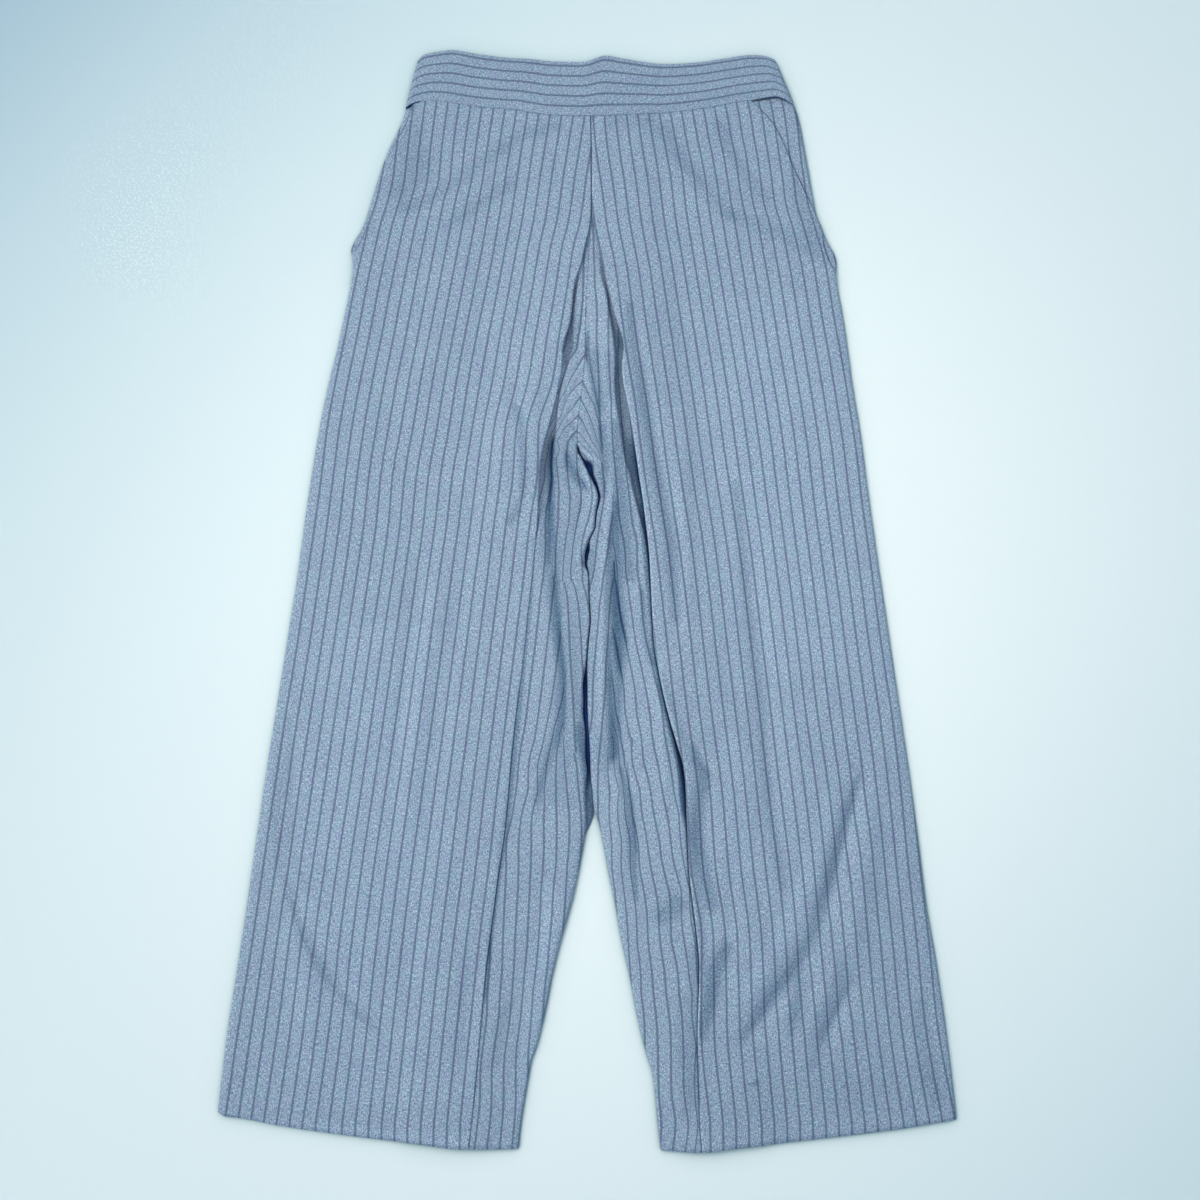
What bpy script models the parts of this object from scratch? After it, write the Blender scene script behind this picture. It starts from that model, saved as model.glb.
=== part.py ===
"""Wide hakama-style trousers with one inverted front pleat, laid flat on their back.

X runs across the garment, Y runs up to the waist and Z up from the surface that it lies on.
Left and right are as seen from above with the waist at the top. Sizes are in millimetres
until a point goes into a mesh, which is in metres.
"""

import math

import bmesh
import bpy

MM = 0.001
MIDDLE_Y = -0.9  # middle of the garment's length in the tables below, which becomes Y = 0

# Cloth and the way it lies
CLOTH = 1.2  # wall of one layer
BAND_CLOTH = 1.8  # waistband: cloth, interfacing and cloth
SEAM_GAP = 0.3  # between pieces that are sewn or that touch
BAND_GAP = 0.7  # between the waistband and the leg pieces
LAYER_PITCH = 1.7  # from one folded layer to the next, middle to middle
UNDERLAY_LEVEL = CLOTH + SEAM_GAP + CLOTH / 2 + 0.1
RETURN_LEVEL = UNDERLAY_LEVEL + LAYER_PITCH
STACK_LEVEL = RETURN_LEVEL + LAYER_PITCH
OPEN_LEVEL = 3.5  # outer panel where only the back lies under it
SEAM_LEVEL = CLOTH + SEAM_GAP + CLOTH / 2  # where a front's edge comes down to the back

# The pleat
PLEAT_DEPTH = 45.0  # from the crease to the fold that is hidden behind it
HIDDEN_RADIUS = LAYER_PITCH / 2
STACK_RAMP = 18.0  # over which the outer panel comes down beside the hidden fold
CREASE_REACH = 52.0  # how far a lifted crease carries the cloth up with it
CREASE_OPENING = 0.12  # how much rounder a crease is for each millimetre that it lifts

# Side edges
SIDE_ROLL_WIDTH = 6.0
SIDE_ROLL_HEIGHT = OPEN_LEVEL - SEAM_LEVEL
POCKET_FOOT = 248.0  # height at which the slanted pocket mouth ends
POCKET_FADE = 12.0  # below it, over which the front comes down to the back
POCKET_EDGE_LEVEL = SEAM_LEVEL + CLOTH + SEAM_GAP + 0.4
POCKET_TUCK = 16.0  # the side piece's hidden width under the front
POCKET_REACH = 34.0  # over which the front comes down from the pocket edge
WAIST_REACH = 0.3  # share of the length over which the waist seam's curve dies out
BACK_INSET = 0.5  # the back's edge lies a little inside the front's

# The waistband
BAND_LIFT = 0.4  # its lower edge stands this much above the fronts
BAND_TOP_LEVEL = BAND_CLOTH + SEAM_GAP + BAND_CLOTH / 2 + 0.4
BAND_END_LEVEL = BAND_CLOTH + SEAM_GAP + BAND_CLOTH / 2
BAND_END_REACH = 9.0

# Levels between which the sections are evenly spaced: height, steps down from it
STATION_RUNS = (
    (397.0, 4),
    (305.0, 8),
    (237.0, 4),
    (130.0, 7),
    (26.0, 5),
    (-140.0, 4),
    (-225.0, 4),
    (-370.0, 4),
)
WAIST = STATION_RUNS[0][0]
HEM = -461.0

# The side edges and the pleat's creases, a row for each section
LEG_COLUMNS = ("y", "outer_left", "crease_left", "crease_right", "outer_right")
LEG_ROWS = (
    (425, -153.0, 2.0, 2.0, 172.5),
    (397, -160.0, 2.4, 2.4, 182.0),
    (360, -175.0, 3.0, 3.0, 188.0),
    (313, -188.2, 3.0, 3.0, 195.2),
    (270, -197.5, -3.0, 11.0, 206.8),
    (225, -206.0, -11.5, 20.5, 215.8),
    (190, -212.5, -20.0, 30.0, 220.0),
    (158, -219.4, -24.0, 31.5, 223.6),
    (117, -226.2, -34.0, 38.5, 229.0),
    (57, -234.0, -41.0, 45.0, 235.2),
    (-12, -241.4, -47.0, 51.0, 243.2),
    (-57, -247.2, -50.5, 55.0, 248.6),
    (-107, -253.6, -57.0, 63.0, 254.6),
    (-164, -261.0, -62.5, 77.5, 261.4),
    (-216, -267.0, -67.0, 80.0, 267.0),
    (-268, -272.9, -73.0, 84.0, 272.0),
    (-320, -279.2, -80.0, 89.0, 279.2),
    (-375, -286.0, -84.5, 87.0, 285.4),
    (-432, -291.0, -89.5, 88.0, 290.5),
    (-465, -294.0, -93.0, 90.0, 293.0),
)

# The centre front seam, and below the crotch the two inner leg edges, with the roll of cloth along them
INNER_COLUMNS = ("y", "inner_left", "inner_right", "roll_height", "roll_width")
INNER_ROWS = (
    (425, 1.8, 2.2, 0.1, 0.4),
    (313, 2.8, 3.2, 0.1, 0.4),
    (270, 0.6, 1.0, 0.4, 1.0),
    (225, -1.5, -1.1, 0.8, 2.0),
    (190, -2.2, -1.8, 1.2, 3.0),
    (158, -4.4, -4.0, 1.8, 3.5),
    (130, -7.7, -7.3, 2.8, 4.0),
    (106, -9.3, -8.8, 4.4, 4.5),
    (90, -5.2, -3.6, 5.6, 5.0),
    (77, 0.4, 3.0, 6.4, 5.0),
    (62, 6.4, 8.2, 6.2, 5.0),
    (47, 6.6, 8.2, 5.2, 5.0),
    (26, -1.6, 0.6, 4.6, 5.0),
    (0, -1.8, 0.9, 4.4, 5.0),
    (-30, 0.9, 2.3, 4.6, 5.5),
    (-57, -0.4, 3.4, 5.0, 6.0),
    (-107, -5.2, -0.6, 4.6, 6.0),
    (-140, -2.3, 0.9, 4.2, 6.0),
    (-164, -0.4, 2.2, 3.8, 6.0),
    (-196, -0.4, 3.6, 3.2, 6.0),
    (-208, -0.8, 9.6, 3.1, 6.0),
    (-222, -3.0, 12.8, 2.9, 6.0),
    (-245, -7.2, 17.0, 2.7, 6.0),
    (-267, -12.0, 21.6, 2.6, 6.0),
    (-297, -20.5, 27.0, 2.3, 6.0),
    (-327, -28.0, 33.8, 2.1, 6.0),
    (-355, -33.6, 39.2, 1.9, 6.0),
    (-383, -40.6, 45.8, 1.8, 5.5),
    (-393, -44.6, 49.0, 1.8, 5.5),
    (-402, -46.0, 52.0, 1.7, 5.5),
    (-441, -52.3, 56.0, 1.6, 5.5),
    (-465, -54.6, 58.5, 1.5, 5.5),
)

# How far each crease stands up from the layers under it
LIFT_COLUMNS = ("y", "lift_left", "lift_right")
LIFT_ROWS = (
    (425, 0.0, 0.0),
    (313, 0.0, 0.0),
    (270, 1.6, 2.0),
    (225, 4.2, 5.0),
    (180, 6.4, 7.2),
    (130, 7.4, 7.6),
    (80, 6.8, 6.4),
    (20, 4.6, 4.8),
    (-40, 3.2, 4.0),
    (-107, 2.4, 4.6),
    (-170, 1.8, 4.0),
    (-250, 1.4, 2.2),
    (-360, 1.0, 1.4),
    (-465, 0.6, 0.8),
)

# How far the slanted pocket mouth lies inside the side edge, and how far the side edge bulges out at its foot
POCKET_COLUMNS = ("y", "mouth_left", "mouth_right", "bulge_left", "bulge_right")
POCKET_ROWS = (
    (425, 6.0, 34.0, 0.0, 0.0),
    (408, 5.0, 27.0, 0.0, 0.0),
    (384, 3.4, 18.0, 0.0, 0.0),
    (352, 1.8, 11.0, 0.0, 0.0),
    (328, 1.4, 4.9, 0.0, 0.0),
    (310, 1.4, 1.1, 0.2, 0.0),
    (296, 3.4, 0.9, 1.8, 1.4),
    (284, 5.3, 3.0, 5.8, 2.0),
    (278, 3.6, 5.4, 6.6, 3.6),
    (270, 0.6, 6.2, 3.6, 4.8),
    (262, 0.0, 2.8, 1.4, 3.4),
    (254, 0.0, 0.0, 0.2, 0.8),
    (240, 0.0, 0.0, 0.0, 0.0),
)

# The waistband's two long edges, a row for each place along it
BAND_COLUMNS = ("lower_x", "lower_y", "upper_x", "upper_y")
BAND_ROWS = (
    (-158.0, 405.4, -148.2, 450.0),
    (-150.0, 410.0, -141.0, 456.0),
    (-136.0, 412.4, -129.0, 457.8),
    (-120.0, 411.6, -113.0, 459.0),
    (-82.0, 405.3, -78.0, 453.7),
    (-40.0, 399.3, -37.0, 450.1),
    (-7.0, 397.0, -5.5, 448.4),
    (12.0, 397.3, 14.5, 453.8),
    (30.0, 398.4, 30.0, 452.0),
    (68.0, 401.0, 66.0, 446.4),
    (108.0, 407.4, 102.0, 449.4),
    (150.0, 413.6, 141.0, 454.8),
    (167.0, 415.8, 154.0, 454.2),
    (178.0, 411.6, 162.4, 450.6),
)

# The hems' edges, left leg and then right
HEM_COLUMNS = ("x", "y")
HEM_ROWS = (
    (-292.0, -430.0),
    (-284.6, -434.2),
    (-274.0, -435.2),
    (-244.0, -440.7),
    (-181.0, -449.4),
    (-137.0, -454.3),
    (-94.0, -458.8),
    (-54.0, -458.8),
    (58.0, -460.0),
    (88.0, -461.0),
    (119.0, -457.9),
    (191.0, -450.1),
    (246.0, -443.6),
    (281.0, -438.1),
    (292.0, -436.4),
)

# Soft folds in the outer panels: from (x, y) to (x, y), half width, and height, below zero for a trough
FOLD_COLUMNS = ("from_x", "from_y", "to_x", "to_y", "half_width", "height")
FOLD_ROWS = (
    (214, -176, 186, -300, 13.0, -1.3),
    (196, -270, 132, -392, 13.0, -1.3),
    (232, -196, 206, -320, 15.0, 1.0),
    (112, -220, 112, -350, 12.0, -1.0),
    (-232, -230, -206, -420, 18.0, 1.0),
    (-136, -60, -160, -260, 16.0, 0.9),
    (-96, 300, -150, 130, 18.0, 0.9),
    (104, 290, 150, 120, 18.0, 0.9),
)

# How finely the sections are divided
ROLL_STEPS = 3
FOLD_STEPS = 4
PANEL_STEPS = 6
VISIBLE_STEPS = 4
PLEAT_STEPS = (0.0, 0.14, 0.38, 0.68, 1.0)
BACK_STEPS = 6
BAND_STEPS = 28
BAND_WIDTH_STEPS = 4
POCKET_STATIONS = 14

# Principled BSDF: base colour, roughness
CLOTH_COLOUR = (0.27, 0.36, 0.52, 1.0)
SHADED_COLOUR = (0.22, 0.30, 0.45, 1.0)
BAND_COLOUR = (0.24, 0.33, 0.49, 1.0)
CLOTH_ROUGHNESS = 0.85


def clear_scene():
    for obj in list(bpy.data.objects):
        bpy.data.objects.remove(obj, do_unlink=True)


def smooth_step(amount):
    amount = min(max(amount, 0.0), 1.0)
    return amount * amount * (3.0 - 2.0 * amount)


def read_table(columns, rows, name, at, key="y"):
    """Reads one column at a value of the key column, along a smooth curve through the rows."""
    keys = [row[columns.index(key)] for row in rows]
    values = [row[columns.index(name)] for row in rows]
    if keys[0] > keys[-1]:
        keys.reverse()
        values.reverse()
    at = min(max(at, keys[0]), keys[-1])
    low = max(index for index in range(len(keys) - 1) if keys[index] <= at)

    def secant(index):
        index = min(max(index, 0), len(keys) - 2)
        return (values[index + 1] - values[index]) / (keys[index + 1] - keys[index])

    def slope(index):
        """Level at a peak or a step, so that the curve never runs past its rows."""
        before, after = secant(index - 1), secant(index)
        return 0.0 if before * after <= 0.0 else 2.0 * before * after / (before + after)

    span = keys[low + 1] - keys[low]
    t = (at - keys[low]) / span
    start = (2 * t**3 - 3 * t**2 + 1) * values[low] + (t**3 - 2 * t**2 + t) * span * slope(low)
    end = (3 * t**2 - 2 * t**3) * values[low + 1] + (t**3 - t**2) * span * slope(low + 1)
    return start + end


def band_seam(x):
    return read_table(BAND_COLUMNS, BAND_ROWS, "lower_y", x, key="lower_x")


def height_shift(x, level):
    """How far a point at x lies above the level of its section: up at the waist's ends and at the hems' outer corners."""
    down = (WAIST - level) / (WAIST - HEM)
    waist_rise = band_seam(x) - BAND_GAP - WAIST
    hem_rise = read_table(HEM_COLUMNS, HEM_ROWS, "y", x, key="x") - HEM
    return waist_rise * max(0.0, 1.0 - down / WAIST_REACH) + hem_rise * down


def line_at(columns, rows, name, side, level):
    """Distance outwards from the centre of a line of one leg where it crosses a section."""
    y = level
    for _ in range(3):
        x = read_table(columns, rows, f"{name}_{side}", y)
        y = level + height_shift(x, level)
    return x * outwards(side)


def outwards(side):
    return -1.0 if side == "left" else 1.0


def pocket_line(name, side, level):
    """A column of the pocket's table, read where the side edge crosses a section."""
    y = level + height_shift(line_at(LEG_COLUMNS, LEG_ROWS, "outer", side, level) * outwards(side), level)
    return read_table(POCKET_COLUMNS, POCKET_ROWS, f"{name}_{side}", y)


def side_edge(side, level):
    """The garment's side edge, with the bulge at the foot of the pocket."""
    return line_at(LEG_COLUMNS, LEG_ROWS, "outer", side, level) + pocket_line("bulge", side, level)


def front_edge(side, level):
    """The front's own edge: the pocket mouth, and below it the side seam."""
    return side_edge(side, level) - pocket_line("mouth", side, level)


def crease_edge(side, level):
    return line_at(LEG_COLUMNS, LEG_ROWS, "crease", side, level) + SEAM_GAP / 2


def inner_edge(side, level):
    return line_at(INNER_COLUMNS, INNER_ROWS, "inner", side, level)


def crease_lift(side, level):
    return read_table(LIFT_COLUMNS, LIFT_ROWS, f"lift_{side}", level)


def fold_radius(side, level):
    return HIDDEN_RADIUS + CREASE_OPENING * crease_lift(side, level)


def pleat_span(side, level):
    """Where the pleat's layers are straight: from beside the crease's fold to beside the hidden fold."""
    crease = crease_edge(side, level)
    start = crease + CLOTH / 2 + fold_radius(side, level)
    return start, crease + PLEAT_DEPTH - HIDDEN_RADIUS


def soft_folds(x, y):
    """Height that the soft folds add at a point of an outer panel."""
    total = 0.0
    for row in FOLD_ROWS:
        fold = dict(zip(FOLD_COLUMNS, row))
        run_x, run_y = fold["to_x"] - fold["from_x"], fold["to_y"] - fold["from_y"]
        length = math.hypot(run_x, run_y)
        off_x, off_y = x - fold["from_x"], y - fold["from_y"]
        along = (off_x * run_x + off_y * run_y) / length**2
        across = (off_x * run_y - off_y * run_x) / (length * fold["half_width"])
        if 0.0 < along < 1.0:
            total += fold["height"] * math.sin(math.pi * along) ** 2 * math.exp(-across * across)
    return total


def pocket_share(level):
    """1 where the pocket mouth is open, and 0 below its foot."""
    return smooth_step((level - POCKET_FOOT) / POCKET_FADE + 1.0)


def edge_level(level):
    return SEAM_LEVEL + (POCKET_EDGE_LEVEL - SEAM_LEVEL) * pocket_share(level)


def edge_roll(level):
    """Height of the roll along the side: low along the pocket mouth, where the edge lies on the side piece."""
    return SIDE_ROLL_HEIGHT + (0.4 - SIDE_ROLL_HEIGHT) * pocket_share(level)


def panel_level(side, level, out):
    """Height of the outer panel's middle at a distance outwards."""
    edge = front_edge(side, level)
    pleat_start, pleat_end = pleat_span(side, level)
    crown = edge_level(level) + edge_roll(level)
    inboard = smooth_step((edge - SIDE_ROLL_WIDTH - out) / POCKET_REACH)
    base = crown + (OPEN_LEVEL - crown) * inboard
    stack = (STACK_LEVEL - OPEN_LEVEL) * smooth_step((pleat_end + STACK_RAMP - out) / STACK_RAMP)
    reach = min(max((out - pleat_start) / CREASE_REACH, 0.0), 1.0)
    lift = crease_lift(side, level) * (0.5 + 0.5 * math.cos(math.pi * reach))
    x = out * outwards(side)
    fade = smooth_step((edge - out) / 20.0) * smooth_step((out - pleat_end) / 20.0)
    return base + stack + lift + fade * soft_folds(x, level + height_shift(x, level))


def arc(centre_out, centre_z, radius_out, radius_z, start, end, steps):
    """Points of an elliptical arc between two angles in degrees, without its two ends."""
    points = []
    for step in range(1, steps):
        angle = math.radians(start + (end - start) * step / steps)
        points.append((centre_out + radius_out * math.cos(angle), centre_z + radius_z * math.sin(angle)))
    return points


def side_roll(side, level):
    edge = front_edge(side, level) - CLOTH / 2
    foot, height = edge_level(level), edge_roll(level)
    top = panel_level(side, level, edge - SIDE_ROLL_WIDTH)
    bend = arc(edge - SIDE_ROLL_WIDTH, foot, SIDE_ROLL_WIDTH, height, 0, 90, ROLL_STEPS)
    return [(edge, foot)] + bend + [(edge - SIDE_ROLL_WIDTH, top)]


def inner_roll(side, level):
    """The underlay's last stretch, which rolls over and down to the seam or to the inner leg edge."""
    width = read_table(INNER_COLUMNS, INNER_ROWS, "roll_width", level)
    height = read_table(INNER_COLUMNS, INNER_ROWS, "roll_height", level)
    edge = inner_edge(side, level) + CLOTH / 2
    bend = arc(edge + width, SEAM_LEVEL, -width, height, 90, 0, ROLL_STEPS)
    return [(edge + width, SEAM_LEVEL + height)] + bend + [(edge, SEAM_LEVEL)]


def front_section(side, level):
    """The middle of a front's cloth across one section: side edge, outer panel, crease, return, hidden fold,
    underlay and inner edge, as (outwards, height) pairs."""
    path = side_roll(side, level)
    pleat_start, pleat_end = pleat_span(side, level)
    panel_start, panel_end = path[-1][0], pleat_end + STACK_RAMP
    outs = [panel_start + (panel_end - panel_start) * step / PANEL_STEPS for step in range(1, PANEL_STEPS + 1)]
    outs += [pleat_end + STACK_RAMP * 0.65, pleat_end + STACK_RAMP * 0.3]
    pleat_outs = [pleat_start + (pleat_end - pleat_start) * share for share in PLEAT_STEPS]
    outs += reversed(pleat_outs)
    path += [(out, panel_level(side, level, out)) for out in outs]

    radius = fold_radius(side, level)
    crest = path[-1][1]
    path += arc(pleat_start, crest - radius, radius, radius, 90, 270, FOLD_STEPS)
    at_hidden = panel_level(side, level, pleat_end) - RETURN_LEVEL
    for share, out in zip(PLEAT_STEPS, pleat_outs):
        below = 2 * radius + (at_hidden - 2 * radius) * share
        path.append((out, panel_level(side, level, out) - below))

    middle = (RETURN_LEVEL + UNDERLAY_LEVEL) / 2
    path += arc(pleat_end, middle, HIDDEN_RADIUS, HIDDEN_RADIUS, 90, -90, FOLD_STEPS)
    path += [(out, UNDERLAY_LEVEL) for out in reversed(pleat_outs)]
    roll = inner_roll(side, level)
    for step in range(1, VISIBLE_STEPS):
        share = step / VISIBLE_STEPS
        out = pleat_start + (roll[0][0] - pleat_start) * share
        path.append((out, UNDERLAY_LEVEL + (roll[0][1] - UNDERLAY_LEVEL) * smooth_step(share)))
    return path + roll


def stations():
    """Levels of the sections from the waist seam to the hem."""
    levels = []
    ends = [run[0] for run in STATION_RUNS[1:]] + [HEM]
    for (top, steps), bottom in zip(STATION_RUNS, ends):
        levels += [top + (bottom - top) * step / steps for step in range(steps)]
    return levels + [HEM]


def placed(side, level, path):
    """Turns (outwards, height) pairs of one section into points of the garment."""
    points = []
    for out, z in path:
        x = out * outwards(side)
        points.append((x, level + height_shift(x, level), z))
    return points


def even_spread(start, end, steps):
    return [start + (end - start) * step / steps for step in range(steps + 1)]


def build_shell(name, rows, thickness, colour, collection):
    """Lofts rows of points into an open surface, and gives it a wall of cloth."""
    shape = bmesh.new()
    grid = [[shape.verts.new((x * MM, (y - MIDDLE_Y) * MM, z * MM)) for x, y, z in row] for row in rows]
    for upper, lower in zip(grid, grid[1:]):
        for corner in range(len(upper) - 1):
            shape.faces.new((upper[corner], upper[corner + 1], lower[corner + 1], lower[corner]))
    bmesh.ops.recalc_face_normals(shape, faces=shape.faces)
    mesh = bpy.data.meshes.new(name)
    shape.to_mesh(mesh)
    shape.free()
    mesh.shade_smooth()
    obj = bpy.data.objects.new(name, mesh)
    collection.objects.link(obj)
    wall = obj.modifiers.new("cloth", "SOLIDIFY")
    wall.thickness = thickness * MM
    wall.offset = 0.0
    wall.use_even_offset = True
    mesh.materials.append(cloth_material(name, colour))
    return obj


def cloth_material(name, colour):
    material = bpy.data.materials.new(f"{name} cloth")
    material.use_nodes = True
    shader = material.node_tree.nodes["Principled BSDF"]
    shader.inputs["Base Color"].default_value = colour
    shader.inputs["Roughness"].default_value = CLOTH_ROUGHNESS
    shader.inputs["Metallic"].default_value = 0.0
    return material


def build_front(side, collection):
    """One leg's front, with the pleat folded into it."""
    rows = [placed(side, level, front_section(side, level)) for level in stations()]
    return build_shell(f"front_{side}", rows, CLOTH, CLOTH_COLOUR, collection)


def build_back(side, collection):
    """One leg's back, which lies flat."""
    rows = []
    for level in stations():
        inner = inner_edge(side, level) + SEAM_GAP / 2
        outs = even_spread(side_edge(side, level) - BACK_INSET, inner, BACK_STEPS)
        rows.append(placed(side, level, [(out, CLOTH / 2) for out in outs]))
    return build_shell(f"back_{side}", rows, CLOTH, SHADED_COLOUR, collection)


def build_pocket_side(side, collection):
    """The side piece that shows outside the slanted pocket mouth, down to the mouth's foot."""
    rows = []
    for level in even_spread(WAIST, POCKET_FOOT + 1.0, POCKET_STATIONS):
        edge = side_edge(side, level)
        hidden = front_edge(side, level) - POCKET_TUCK
        outs = [edge, (edge + hidden) / 2, hidden]
        rows.append(placed(side, level, [(out, SEAM_LEVEL) for out in outs]))
    return build_shell(f"pocket_side_{side}", rows, CLOTH, SHADED_COLOUR, collection)


def band_row(share):
    """The band's two long edges at a share of its length."""
    place = share * (len(BAND_ROWS) - 1)
    numbered = [(index,) + row for index, row in enumerate(BAND_ROWS)]
    columns = ("place",) + BAND_COLUMNS
    return {name: read_table(columns, numbered, name, place, key="place") for name in BAND_COLUMNS}


def band_points(heights):
    """Rows of points from the band's lower edge to its upper one, with the height that heights gives."""
    rows = []
    for share in even_spread(0.0, 1.0, BAND_STEPS):
        ends = band_row(share)
        row = []
        for up in even_spread(0.0, 1.0, BAND_WIDTH_STEPS):
            x = ends["lower_x"] + (ends["upper_x"] - ends["lower_x"]) * up
            y = ends["lower_y"] + (ends["upper_y"] - ends["lower_y"]) * up
            row.append((x, y, heights(x, share, up)))
        rows.append(row)
    return rows


def front_band_height(x, share, up):
    """The band follows the fronts along its seam, and comes down to the back half at its top and ends."""
    side = "left" if x < 0 else "right"
    lower = panel_level(side, WAIST, max(abs(x), PLEAT_DEPTH / 2)) + BAND_LIFT
    height = lower + (BAND_TOP_LEVEL - lower) * smooth_step(up)
    length = BAND_ROWS[-1][0] - BAND_ROWS[0][0]
    from_end = min(share, 1.0 - share) * length
    return BAND_END_LEVEL + (height - BAND_END_LEVEL) * smooth_step(from_end / BAND_END_REACH)


def build_waistband(collection):
    front = band_points(front_band_height)
    build_shell("waistband_front", front, BAND_CLOTH, BAND_COLOUR, collection)
    back = band_points(lambda x, share, up: BAND_CLOTH / 2)
    build_shell("waistband_back", back, BAND_CLOTH, SHADED_COLOUR, collection)


def build_trousers():
    clear_scene()
    collection = bpy.data.collections.new("hakama_trousers")
    bpy.context.scene.collection.children.link(collection)
    for side in ("left", "right"):
        build_back(side, collection)
        build_front(side, collection)
        build_pocket_side(side, collection)
    build_waistband(collection)


build_trousers()
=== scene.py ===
"""Wide striped hakama trousers laid flat on their back: the cloth, its folds, its sewing and the light.

Sizes are in millimetres until a point goes into a mesh, which is in metres. X runs across the garment, Y up
to the waist and Z up from the floor. Left and right are as seen from above with the waist at the top.
"""

import bpy
import math
import numpy as np
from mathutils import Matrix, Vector


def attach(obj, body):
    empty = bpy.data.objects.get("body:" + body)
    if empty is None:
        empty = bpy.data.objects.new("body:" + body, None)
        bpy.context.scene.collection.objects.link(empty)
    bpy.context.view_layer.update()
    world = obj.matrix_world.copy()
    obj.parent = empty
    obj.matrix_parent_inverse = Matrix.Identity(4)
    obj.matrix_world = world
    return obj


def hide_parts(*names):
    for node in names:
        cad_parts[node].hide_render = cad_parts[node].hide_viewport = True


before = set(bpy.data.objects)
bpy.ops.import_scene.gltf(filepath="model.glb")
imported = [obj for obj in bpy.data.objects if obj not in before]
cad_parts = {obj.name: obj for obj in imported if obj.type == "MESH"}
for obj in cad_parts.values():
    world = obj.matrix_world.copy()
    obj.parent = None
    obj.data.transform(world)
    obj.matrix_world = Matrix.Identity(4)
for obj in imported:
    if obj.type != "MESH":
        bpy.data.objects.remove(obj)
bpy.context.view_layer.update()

MM = 0.001
MIDDLE_Y = -0.9  # middle of the garment's length in the pattern's tables, which is Y = 0 in the model
WAIST = 397.0  # level of the waistband's seam
HEM = -461.0  # level of the hems

# Cloth, and the way it lies, as in the solids
CLOTH = 1.2  # wall of the legs
BAND_CLOTH = 1.8  # wall of each half of the waistband
THREAD_CLOTH = 0.95  # wall of the cloth that is seen, drawn inside the solids' wall
WALL_INSIDE = 0.1  # how much thinner than their solids the backs and the band are drawn
SEAM_GAP = 0.3  # between two pieces that are sewn together
BAND_GAP = 0.35  # between the band's lower edge and the legs
LAYER_PITCH = 1.7  # from one layer of a pleat to the next
LAYER_GAP = 0.1  # least room between a pleat's return and its underlay
SEAM_LEVEL = CLOTH + SEAM_GAP + CLOTH / 2  # middle of cloth that lies flat on a back leg
UNDERLAY_LEVEL = SEAM_LEVEL + 0.1
RETURN_LEVEL = UNDERLAY_LEVEL + LAYER_PITCH
STACK_LEVEL = RETURN_LEVEL + LAYER_PITCH  # of the panel where it lies on both
OPEN_LEVEL = 3.5  # of the panel beyond the pleat
PLEAT_DEPTH = 45.0  # of each of its two hidden layers
HIDDEN_RADIUS = LAYER_PITCH / 2  # of the pleat's hidden fold
STACK_RAMP = 18.0  # width over which the panel comes down from the pleat's layers
CREASE_REACH = 52.0  # width over which a crease's lift dies away
CREASE_OPENING = 0.12  # how far the fold of a crease opens for each millimetre of lift
NEAR_CREASE = 5.0  # width of the panel beside its crease that is divided more finely
NEAR_VALLEY = 9.0  # width of the underlay beside the crease that is divided more finely
SIDE_ROLL_WIDTH = 6.0  # of the rounded side edge
SIDE_ROLL_HEIGHT = OPEN_LEVEL - SEAM_LEVEL
MOUTH_ROLL_HEIGHT = 0.4  # how far the edge of a pocket's mouth rolls down
POCKET_FOOT = 248.0  # level where the mouth ends
POCKET_FADE = 12.0  # length over which the mouth's edge comes down to the side seam at its foot
POCKET_EDGE_LEVEL = SEAM_LEVEL + CLOTH + SEAM_GAP + 0.4
POCKET_TUCK = 16.0  # how far a pocket's side piece reaches in under the front
POCKET_REACH = 34.0  # width over which the panel goes from its edge's height to its open level
WAIST_REACH = 0.3  # share of the length over which the waist's curve straightens out
BACK_INSET = 0.5  # how far the backs' side edges lie inside the fronts'

# The waistband
BAND_LIFT = -0.3  # how its seam lies against the fronts
BAND_SWELL = 0.6  # how far it swells up from its seam
BAND_SWELL_SHARE = 0.12  # share of its width over which it does so
BAND_CROWN = 0.25  # how far its middle stands up
BAND_TOP_LEVEL = BAND_CLOTH + SEAM_GAP + BAND_CLOTH / 2 + 0.4
BAND_END_LEVEL = BAND_CLOTH + SEAM_GAP + BAND_CLOTH / 2
BAND_END_REACH = 9.0  # length over which it comes down at each end
BAND_STRIPE_START = 0.075  # share of its width above its first stripe
BAND_STRIPE_SHARE = 0.19  # share of its width from one stripe to the next

# The side edges
LEG_COLUMNS = ("y", "outer_left", "outer_right")
LEG_ROWS = (
    (425, -153.0, 172.5),
    (397, -160.0, 182.0),
    (360, -175.0, 188.0),
    (313, -188.2, 195.2),
    (270, -197.5, 206.8),
    (225, -206.0, 215.8),
    (190, -212.5, 220.0),
    (158, -219.4, 223.6),
    (117, -226.2, 229.0),
    (57, -234.0, 235.2),
    (-12, -241.4, 243.2),
    (-57, -247.2, 248.6),
    (-107, -253.6, 254.6),
    (-164, -261.0, 261.4),
    (-216, -267.0, 267.0),
    (-268, -272.9, 272.0),
    (-320, -279.2, 279.2),
    (-375, -286.0, 285.4),
    (-432, -291.0, 290.5),
    (-465, -294.0, 293.0),
)

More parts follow.
